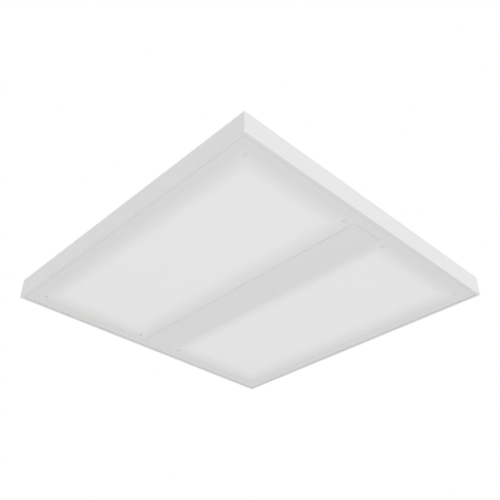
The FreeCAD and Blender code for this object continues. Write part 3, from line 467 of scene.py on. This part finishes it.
def printedMask(look):
    material, tree, shader, place = newMaterial("solderMask", look)
    parts = addNode(tree, "ShaderNodeSeparateXYZ", {}, {"Vector": place})
    steps = addNode(tree, "ShaderNodeMath", {"operation": "PINGPONG", 1: look["padPitch"] / 2 * mm},
                    {0: parts.outputs[1]})
    pad = addNode(tree, "ShaderNodeMath", {"operation": "LESS_THAN", 1: look["padHalf"] * mm},
                  {0: steps.outputs[0]})
    tintSurface(tree, shader, look, pad.outputs[0])
    weave = addNode(tree, "ShaderNodeTexNoise", {"Scale": grain(look["weave"]), "Detail": 2},
                    {"Vector": place})
    textureSurface(tree, shader, look, weave.outputs["Fac"], pad.outputs[0])
    return material


solderMask = printedMask(boardMask)

# Opal acrylic sheet, thermoformed: satin and white right through, with a faint, even painted glow
# that fades to painted shade towards its edges.
opal = {
    "tones": ("#EAEAEA",), "roughness": (0.38, 0.46), "ior": 1.49,
    "glow": 0.10, "paintedEdgeGlow": 0.012,  # painted glow, at the middle of a field and, dimmer as painted shade, at its edge
    "spineEdge": 34.0, "borderEdge": 272.0, "paintedFade": 42.0,  # where the painted fade to shade starts, and its width
    "cornerBlend": 12.0,  # how softly the painted fade turns a corner
    "haze": 140, "hazeRange": (0.97, 1.03),  # slow clouds in the painted glow, and how much they change it
    "texture": 1.2, "height": 0.005, "strength": 0.3,
}


def paintedGlowAcrylic(look):
    material, tree, shader, place = newMaterial("opalAcrylic", look)
    parts = addNode(tree, "ShaderNodeSeparateXYZ", {}, {"Vector": place})
    across = addNode(tree, "ShaderNodeMath", {"operation": "ABSOLUTE"}, {0: parts.outputs[0]})
    along = addNode(tree, "ShaderNodeMath", {"operation": "ABSOLUTE"}, {0: parts.outputs[1]})
    fromSpine = addNode(tree, "ShaderNodeMath", {"operation": "SUBTRACT", 1: look["spineEdge"] * mm},
                        {0: across.outputs[0]})
    fromSide = addNode(tree, "ShaderNodeMath", {"operation": "SUBTRACT", 0: look["borderEdge"] * mm},
                       {1: across.outputs[0]})
    fromEnd = addNode(tree, "ShaderNodeMath", {"operation": "SUBTRACT", 0: look["borderEdge"] * mm},
                      {1: along.outputs[0]})
    nearSide = addNode(tree, "ShaderNodeMath", {"operation": "SMOOTH_MIN", 2: look["cornerBlend"] * mm},
                       {0: fromSpine.outputs[0], 1: fromSide.outputs[0]})
    nearest = addNode(tree, "ShaderNodeMath", {"operation": "SMOOTH_MIN", 2: look["cornerBlend"] * mm},
                      {0: nearSide.outputs[0], 1: fromEnd.outputs[0]})
    # painted shade: the glow dims from the middle of a field towards its edges
    rise = addNode(tree, "ShaderNodeMapRange",
                   {"interpolation_type": "SMOOTHSTEP", "From Min": 0.0, "From Max": look["paintedFade"] * mm,
                    "To Min": look["paintedEdgeGlow"], "To Max": look["glow"]}, {"Value": nearest.outputs[0]})
    haze = addNode(tree, "ShaderNodeTexNoise", {"Scale": grain(look["haze"]), "Detail": 1},
                   {"Vector": place})
    dimmest, brightest = look["hazeRange"]
    drift = addNode(tree, "ShaderNodeMapRange", {"To Min": dimmest, "To Max": brightest},
                    {"Value": haze.outputs["Fac"]})
    level = addNode(tree, "ShaderNodeMath", {"operation": "MULTIPLY"},
                    {0: rise.outputs[0], 1: drift.outputs[0]})
    # the painted glow, given out by the sheet itself though nothing behind it is lit
    glow = addNode(tree, "ShaderNodeCombineColor", {}, {channel: level.outputs[0] for channel in range(3)})
    tree.links.new(glow.outputs[0], shader.inputs["Emission Color"])
    shader.inputs["Emission Strength"].default_value = 1.0
    satin = addNode(tree, "ShaderNodeTexNoise", {"Scale": grain(look["texture"]), "Detail": 2},
                    {"Vector": place})
    textureSurface(tree, shader, look, satin.outputs["Fac"], satin.outputs["Fac"])
    return material


opalAcrylic = paintedGlowAcrylic(opal)
print("materials ready")

# side rails: lip below, wall, and a flange under the back plate
sideRail = {
    "half": 297.5, "lipInner": 291.5, "lipThick": 0.8, "wall": 1.5,
    "flangeInner": 285.5, "flangeLow": 36.3, "flangeHigh": 37.5, "top": 38.5,
    "rimRadius": 1.1, "edgeRadius": 0.2, "mitreRadius": 0.1, "hardAngle": 50,
}


def makeSideRails():  # from a flat lip: wall pulled up, flange pulled in, ends mitred
    size = sideRail
    half = size["half"]
    inside = half - size["wall"]
    rail = addBlock("paintedRail1", (-half, -half, 0), (half, -size["lipInner"], size["lipThick"]))
    openEdit(rail)
    cutPlane((0, -inside, 0), (0, 1, 0))
    heights = (size["lipThick"], size["flangeLow"], size["flangeHigh"], size["top"])
    for low, high in zip(heights, heights[1:]):
        pickFaces(rail, lambda middle, normal: facesUp(normal) and middle.y < -inside
                  and near(middle.z, low))
        extrude(z=high - low)
    pickFaces(rail, lambda middle, normal: normal.y > levelFace
              and size["flangeLow"] < middle.z < size["flangeHigh"])
    extrude(y=inside - size["flangeInner"])
    pickEdges(rail, lambda ends: alongRail(ends, -half, 0))
    bevelPicked(size["rimRadius"], segments=4)
    hardPlaces = [(-size["lipInner"], 0), (-size["lipInner"], size["lipThick"]),
                  (-half, size["top"]), (-inside, size["top"])]
    pickEdges(rail, lambda ends: any(alongRail(ends, y, z) for y, z in hardPlaces))
    bevelPicked(size["edgeRadius"], segments=2)
    mitreEnds(half)
    closeEdit()
    tidyMesh(rail)
    softenEdges(rail, size["mitreRadius"], 1, size["hardAngle"])
    smooth(rail)
    for number, piece in enumerate(fourSides(rail, "paintedRail"), 1):
        dress(piece, f"side_rail_{number}", powderCoatWhite)


makeSideRails()
print("side rails ready")

# border of the door
doorRail = {
    "half": 291.0, "window": 272.0, "low": 0.5, "sheet": 1.0, "top": 8.0,
    "edgeRadius": 0.12, "mitreRadius": 0.05, "hardAngle": 50,
    "feather": 5.0, "featherRise": 0.75,  # the sheet is pressed thin towards the window
    "hinges": 180.0, "notchWidth": 5.0, "notchLow": 2.3,
}


def makeDoorRails():  # a flat strip with its outer edge turned up and its window edge pressed thin
    size = doorRail
    half = size["half"]
    inside = half - size["sheet"]
    high = size["low"] + size["sheet"]
    rail = addBlock("doorRail1", (-half, -half, size["low"]), (half, -size["window"], high))
    openEdit(rail)
    cutPlane((0, -inside, 0), (0, 1, 0))
    pickFaces(rail, lambda middle, normal: facesUp(normal) and middle.y < -inside)
    extrude(z=size["top"] - high)
    pickEdges(rail, lambda ends: alongRail(ends, -half, size["low"]))
    bevelPicked(size["edgeRadius"], segments=3)
    cutPlane((0, -size["window"] - size["feather"], 0), (0, 1, 0))
    pickEdges(rail, lambda ends: alongRail(ends, -size["window"], size["low"]))
    bpy.ops.transform.translate(value=(0, 0, size["featherRise"] * mm))
    mitreEnds(half)
    closeEdit()
    tidyMesh(rail)
    softenEdges(rail, size["mitreRadius"], 1, size["hardAngle"])
    smooth(rail)
    rails = fourSides(rail, "doorRail")
    for y in (-size["hinges"], size["hinges"]):  # room for the fixed ears of the hinges
        low = (inside - overrun, y - size["notchWidth"] / 2, size["notchLow"])
        high = (half + overrun, y + size["notchWidth"] / 2, size["top"] + overrun)
        carve(rails[1], addBlock("notch", low, high))
    for number, piece in enumerate(rails, 1):
        dress(piece, f"door_rail_{number}", powderCoatWhite)


makeDoorRails()
print("door rails ready")

# the plain band between the lenses
spine = {
    "half": 34.0, "window": 272.0, "low": 0.5, "sheet": 1.0,
    "ribOuter": 25.0, "ribInner": 24.0, "ribEnd": 249.0, "ribTop": 12.0,
    "feather": 5.0, "featherRise": 0.75, "edgeRadius": 0.06, "hardAngle": 50,
}


def makeSpine():  # a strip with two ribs pulled up from its back
    size = spine
    half = size["half"]
    high = size["low"] + size["sheet"]
    band = addBlock("spineBand", (-half, -size["window"], size["low"]), (half, size["window"], high))
    openEdit(band)
    for side in (-1, 1):
        for x in (size["ribOuter"], size["ribInner"], half - size["feather"]):
            cutPlane((side * x, 0, 0), (1, 0, 0))
        cutPlane((0, side * size["ribEnd"], 0), (0, 1, 0))
    pickFaces(band, lambda middle, normal: facesUp(normal) and abs(middle.y) < size["ribEnd"]
              and size["ribInner"] < abs(middle.x) < size["ribOuter"])
    extrude(z=size["ribTop"] - high)
    pickEdges(band, lambda ends: near(ends[0].x, ends[1].x)
              and all(near(end.z, size["low"]) and near(abs(end.x), half) for end in ends))
    bpy.ops.transform.translate(value=(0, 0, size["featherRise"] * mm))
    closeEdit()
    tidyMesh(band)
    softenEdges(band, size["edgeRadius"], 1, size["hardAngle"])
    smooth(band)
    dress(band, "spine_cover", powderCoatWhite)


makeSpine()
print("spine ready")

# the right lens, from its rim to its raised field
lens = {
    "rimInner": 28.0, "rimOuter": 278.0, "low": 1.5, "thick": 2.0,
    "spineLedge": 38.0, "ledge": 260.0, "spineField": 58.0, "field": 238.0, "rise": 7.0,
    "creaseRadius": 8.0, "edgeRadius": 0.2, "hardAngle": 60, "shadeAngle": 60,
}


def makeLenses():  # flat sheet, its middle pushed up into a dish with soft creases, then thickened
    size = lens
    inner, outer, foot, ledge = (size[key] for key in ("rimInner", "rimOuter", "spineLedge", "ledge"))
    bpy.ops.object.select_all(action="DESELECT")
    bpy.ops.mesh.primitive_plane_add(size=1)
    sheet = bpy.context.object
    sheet.name = "opalLensRight"
    sheet.scale = ((outer - inner) * mm, 2 * outer * mm, 1)
    sheet.location = ((outer + inner) / 2 * mm, 0, size["low"] * mm)
    bpy.ops.object.transform_apply(location=True, rotation=True, scale=True)
    openEdit(sheet)
    for x in (foot, ledge):
        cutPlane((x, 0, 0), (1, 0, 0))
    for y in (-ledge, ledge):
        cutPlane((0, y, 0), (0, 1, 0))
    pickFaces(sheet, lambda middle, normal: foot < middle.x < ledge and abs(middle.y) < ledge)
    fieldMiddle = (size["spineField"] + size["field"]) / 2
    extrude(x=fieldMiddle - (foot + ledge) / 2, z=size["rise"])
    ratio = ((size["field"] - size["spineField"]) / (ledge - foot), size["field"] / ledge, 1)
    pivot = (fieldMiddle * mm, 0, (size["low"] + size["rise"]) * mm)
    bpy.ops.transform.resize(value=ratio, center_override=pivot)
    pickEdges(sheet, lambda ends: all(foot - pickSlack < end.x < ledge + pickSlack
                                      and abs(end.y) < ledge + pickSlack for end in ends))
    bevelPicked(size["creaseRadius"], segments=6)
    bpy.ops.mesh.select_all(action="SELECT")
    bpy.ops.mesh.remove_doubles(threshold=seam * mm)
    closeEdit()
    if sheet.data.polygons[0].normal.z > 0:  # faces down, so that the wall grows upwards
        openEdit(sheet, everything=True)
        bpy.ops.mesh.flip_normals()
        closeEdit()
    applyModifier(sheet, "SOLIDIFY", thickness=size["thick"] * mm, offset=-1)
    softenEdges(sheet, size["edgeRadius"], 2, size["hardAngle"])
    smooth(sheet, size["shadeAngle"])
    twin = flipCopy(sheet, "opalLensLeft", x=-1)
    smooth(twin, size["shadeAngle"])
    dress(sheet, "lens_right", opalAcrylic)
    dress(twin, "lens_left", opalAcrylic)


makeLenses()
print("lenses ready")

# rivets at the corners of the lenses, head below and rolled tail above
rivet = {
    "outer": 264.0, "inner": 49.0,
    "low": 0.5, "sheetTop": 1.5, "plateTop": 4.5, "top": 5.3,
    "headRadius": 3.5, "shankRadius": 1.6, "tailRadius": 2.6, "sides": 32,
    "headRound": 0.5,
    "ringRadius": 1.6, "ringWidth": 0.3, "dimpleDepth": 0.2,  # a level ring, with the dimple inside it
    "tailWall": 1.2, "tailDepth": 0.5, "edgeRadius": 0.08,
    "hardAngle": 50, "shadeAngle": 25,
}


def makeRivets():  # tubular: head with a shallow dimple, shank and a tail with a hollow
    size = rivet
    head = addDisc("rivetMaster", size["headRadius"], size["low"], size["sheetTop"], size["sides"])
    openEdit(head)
    pickFaces(head, lambda middle, normal: facesUp(normal))
    inset(size["headRadius"] - size["shankRadius"])
    extrude(z=size["plateTop"] - size["sheetTop"])
    extrude()
    widen = size["tailRadius"] / size["shankRadius"]
    bpy.ops.transform.resize(value=(widen, widen, 1), center_override=(0, 0, size["plateTop"] * mm))
    extrude(z=size["top"] - size["plateTop"])
    inset(size["tailWall"])
    extrude(z=-size["tailDepth"])
    pickFaces(head, lambda middle, normal: facesDown(normal) and near(middle.z, size["low"]))
    inset(size["headRadius"] - size["ringRadius"])
    inset(size["ringWidth"])
    extrude(z=size["dimpleDepth"])
    pickEdges(head, lambda ends: all(near(end.z, size["low"]) and near(end.xy.length, size["headRadius"])
                                     for end in ends))
    bevelPicked(size["headRound"], segments=4)
    closeEdit()
    tidyMesh(head)
    softenEdges(head, size["edgeRadius"], 2, size["hardAngle"])
    smooth(head, size["shadeAngle"])
    outer, inner = size["outer"], size["inner"]
    places = [(x, y) for x in (-inner, inner, -outer, outer) for y in (-outer, outer)]
    rivets = [copyPiece(head, "rivet", (x, y, 0)) for x, y in places]
    bpy.data.objects.remove(head)
    dress(joinPieces(rivets, "lensRivets"), "lens_rivets", rivetPolyamide)


makeRivets()
print("rivets ready")

# pan head screws
panScrew = {
    "headRadius": 2.7, "headHeight": 1.8, "headRound": 0.8, "headSides": 20,
    "shankRadius": 1.5, "tipRound": 0.4, "shankSides": 16,
    "crossHalf": 1.3, "slotHalf": 0.35, "crossLow": 0.8,
    "twist": 37,  # degrees from one screw to the next, as they stop at different angles
    "crossRepeat": 90,  # degrees, a cross looks the same again
}

# node: head seat, 1 where the head points up, shank length, places
screwSets = {
    "back_plate_screws": (38.3, 1, 4.0, [(x, y) for x in (-290.5, 290.5) for y in (-130, 0, 130)]
                          + [(x, y) for y in (-290.5, 290.5) for x in (-130, 0, 130)]),
    "wiring_cover_screws": (39.1, 1, 4.6, [(x, y) for x in (-30, 30) for y in (-200, -80)]),
    "bracket_screws": (34.7, -1, 3.6, [(x, y) for x in (-290.5, 290.5) for y in (-186, -174, 174, 186)]),
    "led_board_screws": (35.3, -1, 3.0, [(x, y) for x in (-194, -104, 104, 194) for y in (-176, 0, 176)]),
    "driver_screws": (36.5, -1, 1.8, [(x, y) for x in (-13, 13) for y in (-47, 232)]),
}


def makeScrewHead():  # rounded pan head with a cross recess
    size = panScrew
    top = size["headHeight"]
    head = addDisc("screwHead", size["headRadius"], 0, top, size["headSides"])
    openEdit(head)
    pickEdges(head, lambda ends: all(near(end.z, top) for end in ends))
    bevelPicked(size["headRound"], segments=3)
    closeEdit()
    cross, slot = size["crossHalf"], size["slotHalf"]
    for x, y in ((cross, slot), (slot, cross)):
        carve(head, addBlock("recess", (-x, -y, size["crossLow"]), (x, y, top + overrun)))
    smooth(head)
    return head


def makeShank(length):
    shank = addDisc("shank", panScrew["shankRadius"], -length, 0, panScrew["shankSides"])
    openEdit(shank)
    pickEdges(shank, lambda ends: all(near(end.z, -length) for end in ends))
    bevelPicked(panScrew["tipRound"], segments=1)
    closeEdit()
    return shank


def makeScrews():  # one head for every set, each set with its own shank
    head = makeScrewHead()
    for node, (seat, way, length, places) in screwSets.items():
        screw = joinPieces([copyPiece(head, "head"), makeShank(length)], "screw")
        if way < 0:
            upright = screw
            screw = flipCopy(upright, "screwDown", z=-1)
            bpy.data.objects.remove(upright)
        smooth(screw)
        copies = []
        for index, (x, y) in enumerate(places):
            turn = math.radians(index * panScrew["twist"] % panScrew["crossRepeat"])
            copies.append(copyPiece(screw, "screw", (x, y, seat), turn))
        bpy.data.objects.remove(screw)
        dress(joinPieces(copies, node.replace("_", "") + "Zinc"), node, zincPlatedSteel)
    bpy.data.objects.remove(head)


makeScrews()
print("screws ready")

# LED chips, two rows on each side of the spine
chip = {
    "rows": (104.0, 194.0), "count": 18, "pitch": 22.0,
    "width": 2.8, "length": 3.5, "low": 34.6, "high": 35.3,
    "wall": 0.4, "sunk": 0.18, "taper": (0.85, 0.88, 1),  # the window narrows towards its floor
}


def makeChips():  # white package with a sunk phosphor window
    size = chip
    x, y = size["width"] / 2, size["length"] / 2
    floor = size["low"] + size["sunk"]
    one = addBlock("chipMaster", (-x, -y, size["low"]), (x, y, size["high"]))
    openEdit(one)
    pickFaces(one, lambda middle, normal: facesDown(normal))
    inset(size["wall"])
    extrude(z=size["sunk"])
    bpy.ops.transform.resize(value=size["taper"])
    closeEdit()
    one.data.materials.append(ledPackage)
    one.data.materials.append(ledPhosphor)
    for face in one.data.polygons:
        face.material_index = int(near(face.center.z / mm, floor) and facesDown(face.normal))
    start = -(size["count"] - 1) / 2 * size["pitch"]
    for side, name, node in ((-1, "chipsLeft", "led_chips_left"), (1, "chipsRight", "led_chips_right")):
        copies = [copyPiece(one, "chip", (side * row, start + index * size["pitch"], 0))
                  for row in size["rows"] for index in range(size["count"])]
        mount(joinPieces(copies, name), node)
    bpy.data.objects.remove(one)


makeChips()
print("chips ready")

# mains terminal
terminal = {
    "poles": (-10.0, 0.0, 10.0), "middle": -115.0, "length": 20.0, "low": 24.3, "edgeRadius": 0.35,
    "groove": 1.0, "grooveDepth": 1.4,  # between two poles
    "screwRadius": 1.75, "screwLow": 26.4, "screwHigh": 28.2, "screwSides": 24, "screwRound": 0.2,
    "slot": 0.5, "slotDepth": 0.7,
}


def makePoleScrew():  # slotted, at the bottom of a well
    size = terminal
    low, middle, reach = size["screwLow"], size["middle"], size["screwRadius"] + overrun
    screw = addDisc("poleScrew", size["screwRadius"], low, size["screwHigh"], size["screwSides"], middle)
    softenEdges(screw, size["screwRound"])
    carve(screw, addBlock("slot", (-size["slot"] / 2, middle - reach, low - overrun),
                          (size["slot"] / 2, middle + reach, low + size["slotDepth"])))
    smooth(screw)
    screw.data.materials.append(brass)
    return screw


def makeTerminal():  # block with grooves between its poles and a screw down each well
    size = terminal
    body = softCopy("mains_terminal", "mainsTerminal", size["edgeRadius"])
    for first, second in zip(size["poles"], size["poles"][1:]):
        x = (first + second) / 2
        low = (x - size["groove"] / 2, size["middle"] - size["length"], size["low"] - overrun)
        high = (x + size["groove"] / 2, size["middle"] + size["length"], size["low"] + size["grooveDepth"])
        carve(body, addBlock("groove", low, high))
    smooth(body, copyShadeAngle)
    body.data.materials.clear()
    body.data.materials.append(whitePolyamide)
    screw = makePoleScrew()
    screws = [copyPiece(screw, "poleScrew", (x, 0, 0)) for x in size["poles"]]
    bpy.data.objects.remove(screw)
    mount(joinPieces([body] + screws, "mainsTerminal"), "mains_terminal")


makeTerminal()
print("terminal ready")

# CAD node: piece, how many, edge radius, segments, slot, material
hardware = {
    "back_plate": ("backPlate", 1, 0.2, 1, "zinc_steel", galvanisedSteel),
    "frame_corner_brackets": ("cornerBrackets", 1, 0.5, 2, "cast_zinc", dieCastZinc),
    "frame_grub_screws": ("grubScrews", 1, 0.25, 2, "plated_steel", zincPlatedSteel),
    "wiring_cover": ("wiringCover", 1, 0.25, 2, "zinc_steel", galvanisedSteel),
    "cable_grommet": ("cableGrommet", 1, 0.5, 3, "black_rubber", epdmRubber),
    "earth_stud": ("earthStud", 1, 0.25, 2, "brass", brass),
    "reflector_left": ("reflectorLeft", 1, 0.25, 2, "reflector_white", reflectorPaint),
    "reflector_right": ("reflectorRight", 1, 0.25, 2, "reflector_white", reflectorPaint),
    "board_connectors": ("boardConnectors", 1, 0.4, 2, "white_nylon", whitePolyamide),
    "driver_base": ("driverBase", 1, 0.15, 1, "zinc_steel", galvanisedSteel),
    "driver_cover": ("driverCover", 1, 0.3, 2, "zinc_steel", galvanisedSteel),
    "mains_wires": ("mainsWires", 1, 0, 0, "wire_brown", pvcMains),
    "earth_wire": ("earthWire", 1, 0, 0, "wire_green", pvcEarth),
    "output_wire_left": ("outputWireLeft", 1, 0, 0, "wire_grey", pvcOutput),
    "output_wire_right": ("outputWireRight", 1, 0, 0, "wire_grey", pvcOutput),
    "link_wire_left": ("linkWireLeft", 1, 0, 0, "wire_grey", pvcOutput),
    "link_wire_right": ("linkWireRight", 1, 0, 0, "wire_grey", pvcOutput),
    "hinge_bracket": ("hingeBracket", 2, 0.25, 2, "plated_steel", zincPlatedSteel),
    "spring_catch": ("springCatch", 2, 0.2, 2, "plated_steel", zincPlatedSteel),
    "clip_rivets": ("clipRivets", 1, 0.35, 2, "plated_steel", zincPlatedSteel),
    "door_corner_gusset": ("cornerGusset", 4, 0.3, 2, "zinc_steel", galvanisedSteel),
    "spine_end_plate": ("spineEndPlate", 2, 0.3, 2, "zinc_steel", galvanisedSteel),
    "hinge_leaf": ("hingeLeaf", 2, 0.2, 2, "zinc_steel", galvanisedSteel),
    "hinge_pins": ("hingePins", 1, 0.3, 2, "plated_steel", zincPlatedSteel),
    "ball_strikers": ("ballStrikers", 1, 0.15, 2, "plated_steel", zincPlatedSteel),
    "tee_clip": ("teeClip", 4, 0.25, 2, "zinc_steel", galvanisedSteel),
}


def makeHardware():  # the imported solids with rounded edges, numbered where there are several
    for node, (name, count, radius, segments, slot, material) in hardware.items():
        numbers = range(1, count + 1) if count > 1 else [None]
        for number in numbers:
            source = f"{node}_{number}" if number else node
            piece = softCopy(source, f"{name}{number}" if number else name, radius, segments)
            dress(piece, source, material)


def finishBoards():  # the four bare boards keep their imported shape
    for number in (1, 2, 3, 4):
        board = frame["nodes"][f"led_board_{number}"]
        board.data.materials.clear()
        board.data.materials.append(solderMask)


makeHardware()
print("hardware ready")
finishBoards()
print("boards ready")

# white room below the ceiling, lengths in metres
room = {
    "floorDepth": -2.4, "floorRadius": 16.0, "floorSides": 128,
    "daylight": 0.60,  # what the white room gives to the object
}

# pale painted concrete: flat and matt, with slow clouds in its grey
floorFinish = {"tones": ("#F2F2F1", "#EFEFEE"), "roughness": (0.9, 0.9), "drift": 400}

# name: place, target, size (m), power (W)
softLights = {
    "windowSide": ((0.2, -3.2, 0.9), (0, 0, 0.02), 2.2, 37.4),
    "wallSide": ((-3.2, 0.2, 0.9), (0, 0, 0.02), 2.2, 18.6),
    "floorGlow": ((-0.2, -0.2, -2.1), (0, 0, 0), 2.4, 10.6),
    "roomFill": ((2.5, 2.5, 0.9), (0, 0, 0.02), 2.2, 24),
}


def makeFloor():
    bpy.ops.object.select_all(action="DESELECT")
    bpy.ops.mesh.primitive_circle_add(vertices=room["floorSides"], radius=room["floorRadius"],
                                      fill_type="NGON", location=(0, 0, room["floorDepth"]))
    floor = bpy.context.object
    floor.name = "floor"
    material, tree, shader, place = newMaterial("paleFloor", floorFinish)
    cloud = addNode(tree, "ShaderNodeTexNoise", {"Scale": grain(floorFinish["drift"]), "Detail": 3},
                    {"Vector": place})
    tintSurface(tree, shader, floorFinish, cloud.outputs["Fac"])
    floor.data.materials.append(material)


def setWorld():  # plain daylight on the object, white wherever the camera or a reflection sees past it
    bpy.context.scene.view_settings.view_transform = "Standard"
    world = bpy.data.worlds.new("whiteRoom")
    bpy.context.scene.world = world
    world.use_nodes = True
    tree = world.node_tree
    tree.nodes.clear()
    rays = addNode(tree, "ShaderNodeLightPath")
    seen = addNode(tree, "ShaderNodeMath", {"operation": "MAXIMUM"},
                   {0: rays.outputs["Is Camera Ray"], 1: rays.outputs["Is Glossy Ray"]})
    white = addNode(tree, "ShaderNodeMath", {"operation": "MAXIMUM"},
                    {0: seen.outputs[0], 1: rays.outputs["Is Transmission Ray"]})
    level = addNode(tree, "ShaderNodeMapRange", {"To Min": room["daylight"], "To Max": 1.0},
                    {"Value": white.outputs[0]})
    glow = addNode(tree, "ShaderNodeBackground", {"Color": (1, 1, 1, 1)}, {"Strength": level.outputs[0]})
    addNode(tree, "ShaderNodeOutputWorld", {}, {"Surface": glow.outputs[0]})


def setLights():
    for name, (place, target, size, power) in softLights.items():
        data = bpy.data.lights.new(name, "AREA")
        data.size = size
        data.energy = power
        lamp = bpy.data.objects.new(name, data)
        bpy.context.scene.collection.objects.link(lamp)
        aim = (Vector(target) - Vector(place)).to_track_quat("-Z", "Y")
        lamp.matrix_world = Matrix.Translation(place) @ aim.to_matrix().to_4x4()
        lamp.visible_camera = False


# the photo's own point of view, in metres, with the lens in mm
camera = {
    "location": (-0.7348, -0.7597, -0.6370),
    "right": (0.71704, -0.69703, 0.00164),
    "up": (-0.40101, -0.41060, 0.81890),
    "forward": (0.57013, 0.58784, 0.57393),
    "lens": 48.496, "sensor": 36,
    "nearest": 0.01, "farthest": 100,
}


def setCamera():
    data = bpy.data.cameras.new("camera")
    data.sensor_width = camera["sensor"]
    data.lens = camera["lens"]
    data.clip_start = camera["nearest"]
    data.clip_end = camera["farthest"]
    viewer = bpy.data.objects.new("camera", data)
    bpy.context.scene.collection.objects.link(viewer)
    columns = (Vector(camera["right"]), Vector(camera["up"]), -Vector(camera["forward"]))
    turn = Matrix([[column[row] for column in columns] for row in range(3)])
    viewer.matrix_world = Matrix.Translation(camera["location"]) @ turn.to_4x4()
    bpy.context.scene.camera = viewer


makeFloor()
setWorld()
setLights()
print("room ready")
setCamera()
print("camera set")
